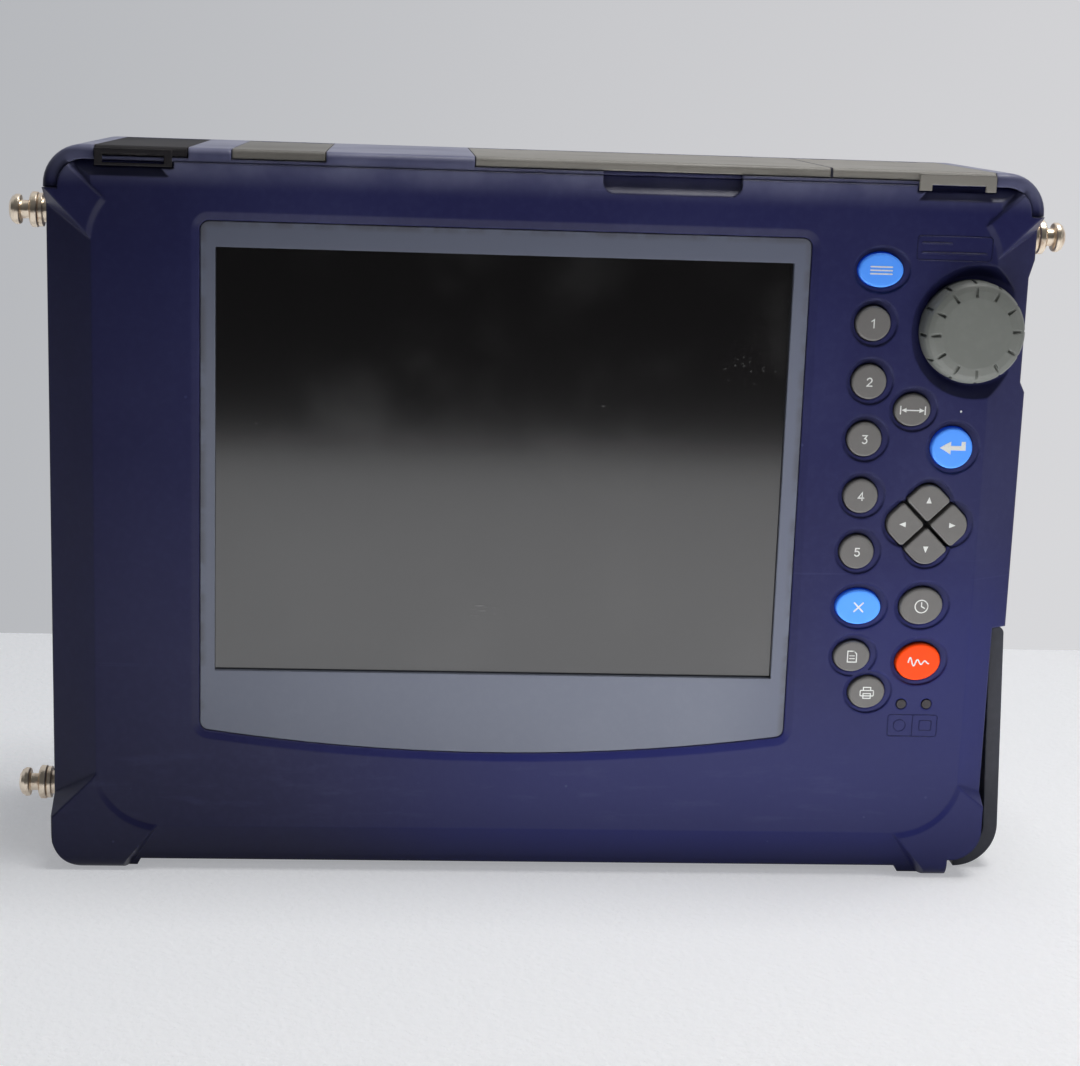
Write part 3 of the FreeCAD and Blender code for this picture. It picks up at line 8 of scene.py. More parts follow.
import json
import logging
import math
from dataclasses import dataclass
from enum import Enum

import bpy
import numpy as np
from mathutils import Matrix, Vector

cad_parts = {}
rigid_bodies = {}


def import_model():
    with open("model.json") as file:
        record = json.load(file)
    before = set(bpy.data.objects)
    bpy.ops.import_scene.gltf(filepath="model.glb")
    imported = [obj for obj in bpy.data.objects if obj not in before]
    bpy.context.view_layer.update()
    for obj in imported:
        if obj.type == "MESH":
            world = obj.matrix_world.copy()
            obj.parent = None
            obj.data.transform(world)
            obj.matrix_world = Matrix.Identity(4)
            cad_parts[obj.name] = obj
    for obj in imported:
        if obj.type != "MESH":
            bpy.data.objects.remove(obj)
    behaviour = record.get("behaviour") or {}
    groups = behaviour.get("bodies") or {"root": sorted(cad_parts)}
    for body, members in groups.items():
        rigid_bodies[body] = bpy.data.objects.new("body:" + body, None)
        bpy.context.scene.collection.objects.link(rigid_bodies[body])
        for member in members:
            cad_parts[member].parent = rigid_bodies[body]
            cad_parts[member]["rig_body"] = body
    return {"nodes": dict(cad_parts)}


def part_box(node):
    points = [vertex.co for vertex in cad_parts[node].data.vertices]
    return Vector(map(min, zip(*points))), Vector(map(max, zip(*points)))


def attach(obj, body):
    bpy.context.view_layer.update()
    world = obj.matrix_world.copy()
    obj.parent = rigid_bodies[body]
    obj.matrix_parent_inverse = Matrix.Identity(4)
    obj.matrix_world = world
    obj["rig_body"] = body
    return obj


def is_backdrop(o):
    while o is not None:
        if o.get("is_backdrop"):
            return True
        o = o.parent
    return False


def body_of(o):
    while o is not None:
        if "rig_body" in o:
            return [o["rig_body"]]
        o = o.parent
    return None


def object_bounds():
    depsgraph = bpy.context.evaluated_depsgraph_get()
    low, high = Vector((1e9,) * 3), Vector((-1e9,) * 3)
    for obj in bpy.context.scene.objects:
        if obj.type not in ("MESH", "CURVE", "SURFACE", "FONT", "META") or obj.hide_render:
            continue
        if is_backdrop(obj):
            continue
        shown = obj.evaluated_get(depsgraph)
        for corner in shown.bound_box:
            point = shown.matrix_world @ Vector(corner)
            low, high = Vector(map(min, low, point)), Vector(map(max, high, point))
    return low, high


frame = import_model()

LOG = logging.getLogger("reflectometer")
Colour = tuple[float, float, float, float]
Point = tuple[float, float]
Point3 = tuple[float, float, float]
MM = 0.001


def paint(red: float, green: float, blue: float) -> Colour:
    """Turns display steps from 0 to 255 into a linear colour.

    Args:
        red: Red step.
        green: Green step.
        blue: Blue step.

    Returns:
        The linear colour with an alpha of 1.
    """
    steps = np.array([red, green, blue]) / 255.0
    linear = np.where(steps <= 0.04045, steps / 12.92, ((steps + 0.055) / 1.055) ** 2.4)
    return (*[float(v) for v in linear], 1.0)


class Slot(Enum):
    """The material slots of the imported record."""

    CASE_BLUE = "case_blue"
    RUBBER_BLACK = "rubber_black"
    COVER_GREY = "cover_grey"
    DOOR_GREY = "door_grey"
    PANEL_GREY = "panel_grey"
    SCREEN_GLASS = "screen_glass"
    SCREEN_DARK = "screen_dark"
    SHEET_STEEL = "sheet_steel"
    MAT_RUBBER = "mat_rubber"
    BOARD_GREEN = "board_green"
    INNER_BLACK = "inner_black"
    KNOB_GREY = "knob_grey"
    LENS_GREY = "lens_grey"
    PLATED_METAL = "plated_metal"
    KEY_GREY = "key_grey"
    KEY_BLUE = "key_blue"
    KEY_ORANGE = "key_orange"


class Signal:
    """A shader socket that takes part in arithmetic, each operator adding a Math node."""

    def __init__(self, net: "Net", socket: bpy.types.NodeSocket) -> None:
        """Wraps an output socket of a net."""
        self.net = net
        self.socket = socket

    def math(self, operation: str, *others: "Signal | float", first: bool = True) -> "Signal":
        """Adds a Math node.

        Args:
            operation: The Math node's operation.
            others: The other operands.
            first: Whether this signal is the first operand.

        Returns:
            The result as a signal.
        """
        operands = [self, *others] if first else [*others, self]
        node = self.net.node("ShaderNodeMath", {"operation": operation}, dict(enumerate(operands)))
        return Signal(self.net, node.outputs[0])

    def __add__(self, other: "Signal | float") -> "Signal":
        """Adds."""
        return self.math("ADD", other)

    __radd__ = __add__

    def __sub__(self, other: "Signal | float") -> "Signal":
        """Subtracts."""
        return self.math("SUBTRACT", other)

    def __rsub__(self, other: "Signal | float") -> "Signal":
        """Subtracts this signal from a number."""
        return self.math("SUBTRACT", other, first=False)

    def __mul__(self, other: "Signal | float") -> "Signal":
        """Multiplies."""
        return self.math("MULTIPLY", other)

    __rmul__ = __mul__

    def __truediv__(self, other: "Signal | float") -> "Signal":
        """Divides."""
        return self.math("DIVIDE", other)

    def __abs__(self) -> "Signal":
        """Drops the sign."""
        return self.math("ABSOLUTE")

    def least(self, other: "Signal | float") -> "Signal":
        """Takes the smaller of two."""
        return self.math("MINIMUM", other)

    def most(self, other: "Signal | float") -> "Signal":
        """Takes the larger of two."""
        return self.math("MAXIMUM", other)

    def ramp(self, low: float, high: float) -> "Signal":
        """Rises smoothly from 0 at low to 1 at high, or falls where high is the smaller.

        Args:
            low: The value that gives 0.
            high: The value that gives 1.

        Returns:
            The eased value.
        """
        start, end, out = (low, high, (0.0, 1.0)) if low < high else (high, low, (1.0, 0.0))
        values = {"Value": self, "From Min": start, "From Max": end, "To Min": out[0], "To Max": out[1]}
        node = self.net.node("ShaderNodeMapRange", {"interpolation_type": "SMOOTHSTEP"}, values)
        return Signal(self.net, node.outputs[0])


class Net:
    """The node tree of one finish."""

    def __init__(self, name: str) -> None:
        """Starts an empty material."""
        self.material = bpy.data.materials.new(name)
        self.material.use_nodes = True
        self.tree = self.material.node_tree
        self.tree.nodes.clear()
        source = self.node("ShaderNodeTexCoord", {}, {})
        self.place = Signal(self, source.outputs["Object"])
        parts = self.node("ShaderNodeSeparateXYZ", {}, {0: self.place})
        self.x, self.y, self.z = (Signal(self, parts.outputs[i]) for i in range(3))

    def node(self, kind: str, settings: dict, values: dict) -> bpy.types.Node:
        """Adds a node.

        Args:
            kind: The node's type name.
            settings: Its settings, set first.
            values: Its inputs, by name or place, each a signal, a socket or a plain value.

        Returns:
            The node.
        """
        made = self.tree.nodes.new(kind)
        for key, setting in settings.items():
            setattr(made, key, setting)
        for key, value in values.items():
            target = made.inputs[key]
            if isinstance(value, Signal):
                self.tree.links.new(value.socket, target)
            elif isinstance(value, bpy.types.NodeSocket):
                self.tree.links.new(value, target)
            else:
                target.default_value = value
        return made

    def moved(self, stretch: Point3, turn: float = 0.0) -> Signal:
        """Stretches and turns the object's own coordinates.

        Args:
            stretch: Scale along each axis, larger for finer detail.
            turn: Turn about the depth axis, in degrees.

        Returns:
            The mapped coordinates.
        """
        values = {"Vector": self.place, "Rotation": (0.0, math.radians(turn), 0.0), "Scale": stretch}
        return Signal(self, self.node("ShaderNodeMapping", {}, values).outputs[0])

    def noise(self, scale: float, detail: float = 3.0, where: Signal | None = None) -> Signal:
        """Samples fractal noise.

        Args:
            scale: Cells to the metre.
            detail: Octaves.
            where: Coordinates, or None for the object's own.

        Returns:
            Noise between 0 and 1, around a half.
        """
        values = {"Vector": where or self.place, "Scale": scale, "Detail": detail, "Roughness": 0.55}
        return Signal(self, self.node("ShaderNodeTexNoise", {}, values).outputs[0])

    def cells(self, scale: float) -> Signal:
        """Samples the distance to the nearest of scattered points, scale of them to the metre."""
        values = {"Vector": self.place, "Scale": scale}
        return Signal(self, self.node("ShaderNodeTexVoronoi", {}, values).outputs[0])

    def blend(self, share: Signal | float, first: "Signal | Colour", second: "Signal | Colour") -> Signal:
        """Mixes two colours.

        Args:
            share: How much of the second one shows.
            first: Colour at a share of 0.
            second: Colour at a share of 1.

        Returns:
            The mixed colour.
        """
        made = self.node("ShaderNodeMix", {"data_type": "RGBA"}, {0: share, 6: first, 7: second})
        return Signal(self, made.outputs[2])

    def soft_edge(self, radius: float) -> Signal:
        """Gives a normal that rolls over sharp edges at a radius."""
        made = self.node("ShaderNodeBevel", {"samples": 6}, {"Radius": radius})
        return Signal(self, made.outputs[0])

    def edge(self, rolled: Signal) -> Signal:
        """Finds sharp edges, as the angle between the rolled and the true normal."""
        true = self.node("ShaderNodeNewGeometry", {}, {})
        values = {0: rolled, 1: true.outputs["Normal"]}
        made = self.node("ShaderNodeVectorMath", {"operation": "DOT_PRODUCT"}, values)
        return 1.0 - Signal(self, made.outputs["Value"])

    def relief(self, height: Signal, depth: float, base: Signal | None = None) -> Signal:
        """Turns a height into a bumped normal.

        Args:
            height: Height between 0 and 1.
            depth: The real depth of a height of 1, in metres.
            base: Normal that it stands on, or None for the surface's own.

        Returns:
            The normal.
        """
        values = {"Strength": 1.0, "Distance": depth, "Height": height}
        if base is not None:
            values["Normal"] = base
        return Signal(self, self.node("ShaderNodeBump", {}, values).outputs[0])

    def surface(self, **inputs: "Signal | float | Colour") -> bpy.types.Material:
        """Closes the tree with a Principled surface.

        Args:
            inputs: Shader inputs, with underscores for the spaces in their names.

        Returns:
            The finished material.
        """
        values = {name.replace("_", " "): value for name, value in inputs.items()}
        shader = self.node("ShaderNodeBsdfPrincipled", {}, values)
        self.node("ShaderNodeOutputMaterial", {}, {"Surface": shader.outputs[0]})
        return self.material


@dataclass(frozen=True)
class Moulded:
    """A moulded plastic or rubber: fine spark grain, uneven tone, softened edges and handling wear.

    Attributes:
        name: The material's name.
        colour: Its colour where it is clean.
        pale: Its colour where it is worn or dusty.
        roughness: Roughness of the clean face.
        grain: Cells of the spark grain to the metre.
        depth: Depth of the grain, in metres.
        rolled: Radius that sharp edges seem to have, in metres.
        wear: How worn its edges are, from 0 to 1.
        dust: How uneven its tone is, from 0 to 1.
        sheen: Specular level.
        glow: Painted light of its own, a glow that makes a colour brighter than its paint alone.
    """

    name: str
    colour: Colour
    pale: Colour
    roughness: float = 0.45
    grain: float = 1500.0
    depth: float = 0.00003
    rolled: float = 0.0006
    wear: float = 0.5
    dust: float = 0.2
    sheen: float = 0.5
    glow: Colour = (0.0, 0.0, 0.0, 1.0)

    def tone(self, net: Net) -> Signal:
        """Builds the uneven tone, with broad clouds and faint grime."""
        broad = net.noise(14.0, 4.0).ramp(0.35, 0.7)
        fine = net.noise(420.0, 2.0).ramp(0.4, 0.75)
        share = broad * (0.10 + 0.12 * self.dust) + fine * 0.06
        return net.blend(share, self.colour, self.pale)

    def scratches(self, net: Net) -> Signal:
        """Builds hairline scratches along three directions, broken up by a cloud."""
        lines = None
        for turn, offset in ((24.0, 0.0), (-38.0, 0.3), (72.0, 0.6)):
            spread = net.moved((9.0 + offset, 9.0, 620.0), turn)
            line = net.noise(1.0, 1.0, spread).ramp(0.735, 0.765)
            lines = line if lines is None else lines.most(line)
        return lines * net.noise(35.0, 2.0).ramp(0.5, 0.68)

    def extra(self, net: Net, colour: Signal) -> Signal:
        """Adds marks of one place only; a plain moulding has none."""
        return colour

    def build(self) -> bpy.types.Material:
        """Builds the material."""
        net = Net(self.name)
        rolled = net.soft_edge(self.rolled)
        worn = net.edge(rolled).ramp(0.03, 0.25) * net.noise(160.0, 3.0).ramp(0.42, 0.66) * self.wear
        lines = self.scratches(net) * self.wear
        colour = net.blend(worn.most(lines * 0.3), self.tone(net), self.pale)
        colour = self.extra(net, colour)
        grain = net.noise(self.grain, 2.0)
        smooth = net.noise(22.0, 3.0).ramp(0.3, 0.75)
        rough = self.roughness + 0.10 * smooth - 0.08 * worn
        height = grain * 0.8 - lines * 0.5
        normal = net.relief(height, self.depth, rolled)
        return net.surface(
            Base_Color=colour,
            Roughness=rough,
            Normal=normal,
            IOR=1.5,
            Specular_IOR_Level=self.sheen,
            Emission_Color=self.glow,
            Emission_Strength=1.0,
        )


@dataclass(frozen=True)
class HousingPlastic(Moulded):
    """The housings' blue plastic, dusty with painted highlight along the top, chalky over the lower front,
    with painted shade and light.

    Attributes:
        dust_and_highlight: Colour of the dusty top and of the painted highlight along the top and the roll
            below it.
        shade: Colour of the painted shade on the fall under the plateau and at the left end of the front.
        lit_blue: Colour of the painted light low on the right of the front, bluer than the plain blue.
        plateau_foot: Height of the plateau's lower edge.
        plateau_face: Depth at which the plateau lies.
    """

    dust_and_highlight: Colour = paint(150, 153, 182)
    shade: Colour = paint(20, 20, 54)
    lit_blue: Colour = paint(36, 41, 108)
    plateau_foot: float = 0.0147
    plateau_face: float = -0.0375

    def extra(self, net: Net, colour: Signal) -> Signal:
        """Adds the painted shade, the painted light, the chalk, the dust and the painted highlight, each by
        its place.
        """
        foot, flat = self.plateau_foot, self.plateau_face
        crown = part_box("top_frame")[1].z
        face = net.y.ramp(flat + 0.0040, flat + 0.0010)
        # painted shade: the fall under the plateau and the left end of the front are darker
        under = net.z.ramp(foot + 0.0003, foot - 0.0004)
        fall = under * net.y.ramp(flat - 0.0001, flat + 0.0001) * net.y.ramp(flat + 0.0135, flat + 0.0095)
        front = net.y.ramp(-0.022, -0.034)
        colour = net.blend(fall.most(net.x.ramp(-0.06, -0.135) * front) * 0.45, colour, self.shade)
        # painted light: the lower right of the front is bluer
        lit_blue_share = net.z.ramp(0.09, 0.03).most(net.z.ramp(0.12, 0.07) * net.x.ramp(0.05, 0.13))
        colour = net.blend(lit_blue_share * front * net.x.ramp(-0.09, 0.0) * 0.65, colour, self.lit_blue)
        # handling leaves chalk across the lower front and a few specks
        band = net.z.ramp(0.048, 0.026) * net.z.ramp(0.016, 0.020) * face
        spread = net.moved((60.0, 60.0, 260.0), 8.0)
        chalk = band * net.noise(1.0, 5.0, spread).ramp(0.52, 0.74)
        specks = face * net.cells(95.0).ramp(0.055, 0.03) * net.noise(30.0).ramp(0.5, 0.62)
        marked = net.blend((chalk * 0.16).most(specks * 0.35), colour, self.pale)
        # the top is dusty and carries painted highlight, and the roll below it carries painted highlight
        cloud = net.noise(60.0, 3.0).ramp(0.25, 0.75)
        top = net.z.ramp(crown - 0.0028, crown - 0.0006) * (0.50 + 0.22 * cloud)
        roll = net.z.ramp(crown - 0.0125, crown - 0.0040) * face * (0.20 + 0.22 * cloud)
        return net.blend(top.most(roll), marked, self.dust_and_highlight)


@dataclass(frozen=True)
class PanelPlastic(Moulded):
    """The display surround's grey, dirtier by its rim, with painted shade towards its top and right."""

    grime: Colour = paint(74, 70, 66)
    shade: Colour = paint(101, 106, 124)

    def extra(self, net: Net, colour: Signal) -> Signal:
        """Adds the painted shade towards the top and right, and the dirt that gathers by the rim of the
        surround.
        """
        low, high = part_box("display_panel")
        side = (net.x - low.x).least(high.x - net.x).least(high.z - net.z)
        dirt = side.ramp(0.0024, 0.0004) * net.noise(120.0, 5.0).ramp(0.36, 0.62)
        # painted shade: darker towards the top and by the right-hand edge
        shaded = net.z.ramp(low.z + 0.09, high.z).most(net.x.ramp(high.x - 0.03, high.x) * 0.7)
        colour = net.blend(shaded * 0.8, colour, self.shade)
        return net.blend(dirt * 0.4, colour, self.grime)


@dataclass(frozen=True)
class CoverPlastic(Moulded):
    """The hinged covers' warm grey, with dark handling marks on their upper sides and painted shade and
    light.
    """

    grime_and_shade: Colour = paint(52, 49, 47)

    def extra(self, net: Net, colour: Signal) -> Signal:
        """Adds dark dirt in streaks, painted shade that dims the left-hand covers and painted light that
        pales the right-hand ones.
        """
        spread = net.moved((30.0, 90.0, 90.0))
        grime_and_shade_share = net.noise(1.0, 5.0, spread).ramp(0.52, 0.8)
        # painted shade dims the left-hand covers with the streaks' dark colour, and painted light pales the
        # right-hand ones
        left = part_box("jack_cover")[1].x
        grime_and_shade_share = grime_and_shade_share.most(net.x.ramp(left + 0.004, left) * 0.35)
        colour = net.blend(net.x.ramp(left, left + 0.004) * 0.35, colour, self.pale)
        return net.blend(grime_and_shade_share * 0.5, colour, self.grime_and_shade)


@dataclass(frozen=True)
class Glass:
    """The display window: a strong mirror over a dark display, with smears, dust and a few scratches."""

    name: str
    colour: Colour
    smear: Colour
    roughness: float = 0.115

    def build(self) -> bpy.types.Material:
        """Builds the material."""
        net = Net(self.name)
        low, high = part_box("screen_glass")
        smear = net.noise(26.0, 5.0).ramp(0.45, 0.8)
        fibres = net.noise(1.0, 2.0, net.moved((70.0, 70.0, 900.0), 34.0)).ramp(0.76, 0.79)
        fibres = fibres * net.noise(60.0, 2.0).ramp(0.56, 0.64)
        dots = net.cells(210.0).ramp(0.05, 0.02) * net.noise(48.0, 3.0).ramp(0.56, 0.66)
        near = self.patch(net, low.x + 0.082, low.z + 0.020, 0.0075, 0.0034)
        torn = near * net.noise(1.0, 2.0, net.moved((160.0, 160.0, 2600.0), 36.0)).ramp(0.62, 0.68) * 0.6
        high_dust = self.patch(net, high.x - 0.012, high.z - 0.030, 0.011, 0.013)
        dusty = high_dust * net.noise(700.0, 3.0).ramp(0.62, 0.74)
        marks = fibres.most(dots * 0.8).most(torn).most(dusty * 0.3)
        colour = net.blend(smear * 0.05 + marks * 0.45, self.colour, self.smear)
        rough = self.roughness + smear * 0.03 + marks * 0.3
        normal = net.relief(net.noise(6.0, 1.0), 0.00002)
        return net.surface(
            Base_Color=colour, Roughness=rough, Normal=normal, IOR=2.3, Specular_IOR_Level=0.5
        )

    def patch(self, net: Net, x: float, z: float, wide: float, tall: float) -> Signal:
        """Marks an oval on the glass.

        Args:
            net: The tree.
            x: Centre across.
            z: Centre up.
            wide: Half width.
            tall: Half height.

        Returns:
            1 inside, easing to 0 outside.
        """
        across = (net.x - x) / wide
        up = (net.z - z) / tall
        return (across * across + up * up).ramp(1.0, 0.35)


@dataclass(frozen=True)
class Metal:
    """A plated or sheet metal, with fine turned or rolled lines and dull spots."""

    name: str
    colour: Colour
    dull: Colour
    roughness: float = 0.18
    lines: float = 0.000006

    def build(self) -> bpy.types.Material:
        """Builds the material."""
        net = Net(self.name)
        spots = net.noise(380.0, 4.0).ramp(0.48, 0.72)
        colour = net.blend(spots * 0.6, self.colour, self.dull)
        rough = self.roughness + 0.22 * spots
        turned = net.noise(1.0, 2.0, net.moved((9000.0, 900.0, 900.0)))
        normal = net.relief(turned, self.lines, net.soft_edge(0.00025))
        return net.surface(Base_Color=colour, Roughness=rough, Metallic=1.0, Normal=normal)


@dataclass(frozen=True)
class CircuitBoard:
    """A solder-masked board, with copper runs that show as faint relief."""

    name: str
    colour: Colour
    copper: Colour

    def build(self) -> bpy.types.Material:
        """Builds the material."""
        net = Net(self.name)
        runs = net.noise(1.0, 1.0, net.moved((160.0, 160.0, 900.0))).ramp(0.5, 0.53)
        pads = net.cells(420.0).ramp(0.22, 0.16) * net.noise(40.0).ramp(0.5, 0.55)
        colour = net.blend(runs * 0.25, self.colour, paint(46, 112, 66))
        colour = net.blend(pads, colour, self.copper)
        normal = net.relief(runs.most(pads), 0.00004)
        return net.surface(Base_Color=colour, Roughness=0.35 + 0.1 * pads, Normal=normal, IOR=1.5)


@dataclass(frozen=True)
class Ink:
    """A printed sign's ink: matt, faintly mottled and worn thin."""

    name: str
    colour: Colour
    worn: Colour

    def build(self) -> bpy.types.Material:
        """Builds the material."""
        net = Net(self.name)
        thin = net.noise(900.0, 3.0).ramp(0.5, 0.75)
        colour = net.blend(thin * 0.45, self.colour, self.worn)
        normal = net.relief(net.noise(4000.0), 0.00001)
        return net.surface(Base_Color=colour, Roughness=0.6 + 0.1 * thin, Normal=normal)


def finishes() -> dict[Slot, Moulded | Glass | Metal | CircuitBoard]:
    """Lists the finish of each slot of the record.

    Returns:
        The finish by slot.
    """
    blue = paint(36, 37, 82)
    pale_blue = paint(86, 90, 134)
    return {
        Slot.CASE_BLUE: HousingPlastic(
            "case_blue", blue, pale_blue,
            roughness=0.30, grain=1700.0, depth=0.00004, rolled=0.0011, wear=0.45, dust=0.2,
            sheen=0.28,
        ),
        Slot.RUBBER_BLACK: Moulded(
            "rubber_black", paint(22, 20, 27), paint(78, 74, 74),
            roughness=0.6, grain=900.0, depth=0.00005, rolled=0.0006, wear=0.5, dust=0.6, sheen=0.3,
        ),
        Slot.COVER_GREY: CoverPlastic(
            "cover_grey", paint(116, 113, 108), paint(178, 174, 166),
            roughness=0.42, grain=1300.0, depth=0.00003, rolled=0.0006, wear=0.5, dust=0.5,
        ),
        Slot.DOOR_GREY: Moulded(
            "door_grey", paint(49, 51, 62), paint(104, 106, 120),
            roughness=0.46, grain=1300.0, depth=0.00003, rolled=0.0008, wear=0.5, dust=0.5,
        ),
        Slot.PANEL_GREY: PanelPlastic(
            "panel_grey", paint(115, 120, 136), paint(140, 145, 158),
            roughness=0.42, grain=1900.0, depth=0.00002, rolled=0.0005, wear=0.25, dust=0.5, sheen=0.3,
        ),
        Slot.SCREEN_GLASS: Glass("screen_glass", paint(14, 12, 13), paint(150, 150, 150)),
        Slot.SCREEN_DARK: Moulded(
            "screen_dark", paint(24, 24, 26), paint(60, 60, 64),
            roughness=0.4, grain=800.0, depth=0.00002, rolled=0.0003, wear=0.1, dust=0.1,
        ),
        Slot.SHEET_STEEL: Metal(
            "sheet_steel", paint(180, 182, 186), paint(128, 128, 132),
            roughness=0.30, lines=0.00001,
        ),
        Slot.MAT_RUBBER: Moulded(
            "mat_rubber", paint(86, 86, 88), paint(120, 120, 120),
            roughness=0.6, grain=900.0, depth=0.00002, rolled=0.0003, wear=0.1, dust=0.1,
        ),
        Slot.BOARD_GREEN: CircuitBoard("board_green", paint(24, 84, 48), paint(208, 170, 92)),
        Slot.INNER_BLACK: Moulded(
            "inner_black", paint(26, 26, 28), paint(64, 64, 68),
            roughness=0.5, grain=900.0, depth=0.00003, rolled=0.0004, wear=0.2, dust=0.2,
        ),
        Slot.KNOB_GREY: Moulded(
            "knob_grey", paint(115, 118, 114), paint(160, 163, 157),
            roughness=0.38, grain=2200.0, depth=0.00002, rolled=0.0007, wear=0.35, dust=0.3,
        ),
        Slot.LENS_GREY: Moulded(
            "lens_grey", paint(52, 48, 52), paint(96, 90, 92),
            roughness=0.25, grain=900.0, depth=0.00001, rolled=0.0003, wear=0.1, dust=0.1,
        ),
        Slot.PLATED_METAL: Metal(
            "plated_metal", paint(252, 236, 214), paint(206, 176, 148),
            roughness=0.3,
        ),
        Slot.KEY_GREY: Moulded(
            "key_grey", paint(108, 106, 105), paint(144, 143, 140),
            roughness=0.48, grain=1600.0, depth=0.00003, rolled=0.0005, wear=0.3, dust=0.4,
        ),
        Slot.KEY_BLUE: Moulded(
            "key_blue", paint(87, 162, 254), paint(130, 188, 254),
            roughness=0.42, grain=1600.0, depth=0.00002, rolled=0.0005, wear=0.2, dust=0.2, sheen=0.25,
            # the blue key's glow is painted light that brightens it
            glow=(0.0, 0.01, 0.16, 1.0),
        ),
        Slot.KEY_ORANGE: Moulded(
            "key_orange", paint(254, 70, 0), paint(255, 104, 16),
            roughness=0.42, grain=1600.0, depth=0.00002, rolled=0.0005, wear=0.2, dust=0.2, sheen=0.2,
        ),
    }


def arc(x: float, z: float, radius: float, start: float, end: float, steps: int = 14) -> np.ndarray:
    """Lays points on a circle: centre plus radius times the cosine and sine of an even run of angles.

    Args:
        x: Centre across.
        z: Centre up.
        radius: Radius.
        start: First angle, in degrees.
        end: Last angle, in degrees.
        steps: Number of points.

    Returns:
        The points, one to a row.
    """
    angles = np.radians(np.linspace(start, end, steps))
    return np.column_stack([x + radius * np.cos(angles), z + radius * np.sin(angles)])


def path(*parts: np.ndarray | Point) -> np.ndarray:
    """Joins points and runs of points into one run."""
    return np.vstack([np.atleast_2d(np.array(part, dtype=float)) for part in parts])


def frame_path(x0: float, z0: float, x1: float, z1: float, radius: float) -> np.ndarray:
    """Lays a closed rectangle with round corners.

    Args:
        x0: Left edge.
        z0: Bottom edge.
        x1: Right edge.
        z1: Top edge.
        radius: Corner radius.

    Returns:
        The points, ending where they start.
    """
    right, left = x1 - radius, x0 + radius
    top, bottom = z1 - radius, z0 + radius
    corners = [
        arc(right, top, radius, 0, 90, 5),
        arc(left, top, radius, 90, 180, 5),
        arc(left, bottom, radius, 180, 270, 5),
        arc(right, bottom, radius, 270, 360, 5),
    ]
    return path(*corners, corners[0][:1])


@dataclass(frozen=True)
class Stroke:
    """One raised line of a sign, in millimetres from the sign's centre."""

    points: np.ndarray
    width: float | tuple[float, ...] = 0.42
    rounded: bool = True

    def ribbon(self, height: float) -> tuple[np.ndarray, np.ndarray]:
        """Carries a shallow trapezium along the line, with round or square ends.

        The profile's half width is that of the line at each point. At an end, rows are added a half
        width times the sine of an angle further on, and narrowed by the angle's cosine.

        Args:
            height: How far the ink or ridge stands out.

        Returns:
            Vertices as (across, up, out) rows, and four-cornered faces.
        """
        run = np.asarray(self.points, dtype=float)
        half = np.broadcast_to(np.asarray(self.width, dtype=float), (len(run),)) / 2.0
        step = np.gradient(run, axis=0)
        ahead = step / np.linalg.norm(step, axis=1, keepdims=True)
        legs = np.diff(run, axis=0)
        legs = legs / np.linalg.norm(legs, axis=1, keepdims=True)
        turn = np.ones(len(run))
        if len(run) > 2:
            bend = np.clip((legs[:-1] * legs[1:]).sum(axis=1), -0.5, 1.0)
            middle = legs[:-1] + legs[1:]
            ahead[1:-1] = middle / np.linalg.norm(middle, axis=1, keepdims=True)
            turn[1:-1] = 1.0 / np.sqrt((1.0 + bend) / 2.0)
        swing = np.radians(np.linspace(80.0, 0.0, 5))[:-1] if self.rounded else np.empty(0)
        head = run[0] - ahead[0] * half[0] * np.sin(swing)[:, None]
        tail = run[-1] + ahead[-1] * half[-1] * np.sin(swing[::-1])[:, None]
        centre = np.vstack([head, run, tail])
        extra = (len(swing), 1)
        direction = np.vstack([np.tile(ahead[0], extra), ahead, np.tile(ahead[-1], extra)])
        reach = np.concatenate([half[0] * np.cos(swing), half * turn, half[-1] * np.cos(swing[::-1])])
        normal = np.column_stack([-direction[:, 1], direction[:, 0]])
        share = np.array([-1.0, -0.86, 0.86, 1.0])
        lift = np.array([0.0, 1.0, 1.0, 0.0]) * height
        flat = centre[:, None, :] + normal[:, None, :] * (reach[:, None] * share)[:, :, None]
        out = np.broadcast_to(lift, flat.shape[:2])
        rows = np.concatenate([flat, out[:, :, None]], axis=2).reshape(-1, 3)
        count = len(centre)
        first = (np.arange(count - 1) * 4)[:, None]
        ring = np.arange(4)[None, :]
        after = (ring + 1) % 4
        sides = np.stack([first + ring, first + 4 + ring, first + 4 + after, first + after], axis=2)
        last = (count - 1) * 4
        ends = np.array([[0, 1, 2, 3], [last + 3, last + 2, last + 1, last]])
        return rows, np.vstack([sides.reshape(-1, 4), ends])


def line(*points: Point, width: float | tuple[float, ...] = 0.42) -> Stroke:
    """Makes a stroke through a few points."""
    return Stroke(path(*points), width)


def wedge(*points: Point, width: float | tuple[float, ...]) -> Stroke:
    """Makes a stroke with square ends, which tapers to a point where its last width is small."""
    return Stroke(path(*points), width, rounded=False)


def curve(points: np.ndarray, width: float | tuple[float, ...] = 0.42) -> Stroke:
    """Makes a stroke along a run of points."""
    return Stroke(points, width)


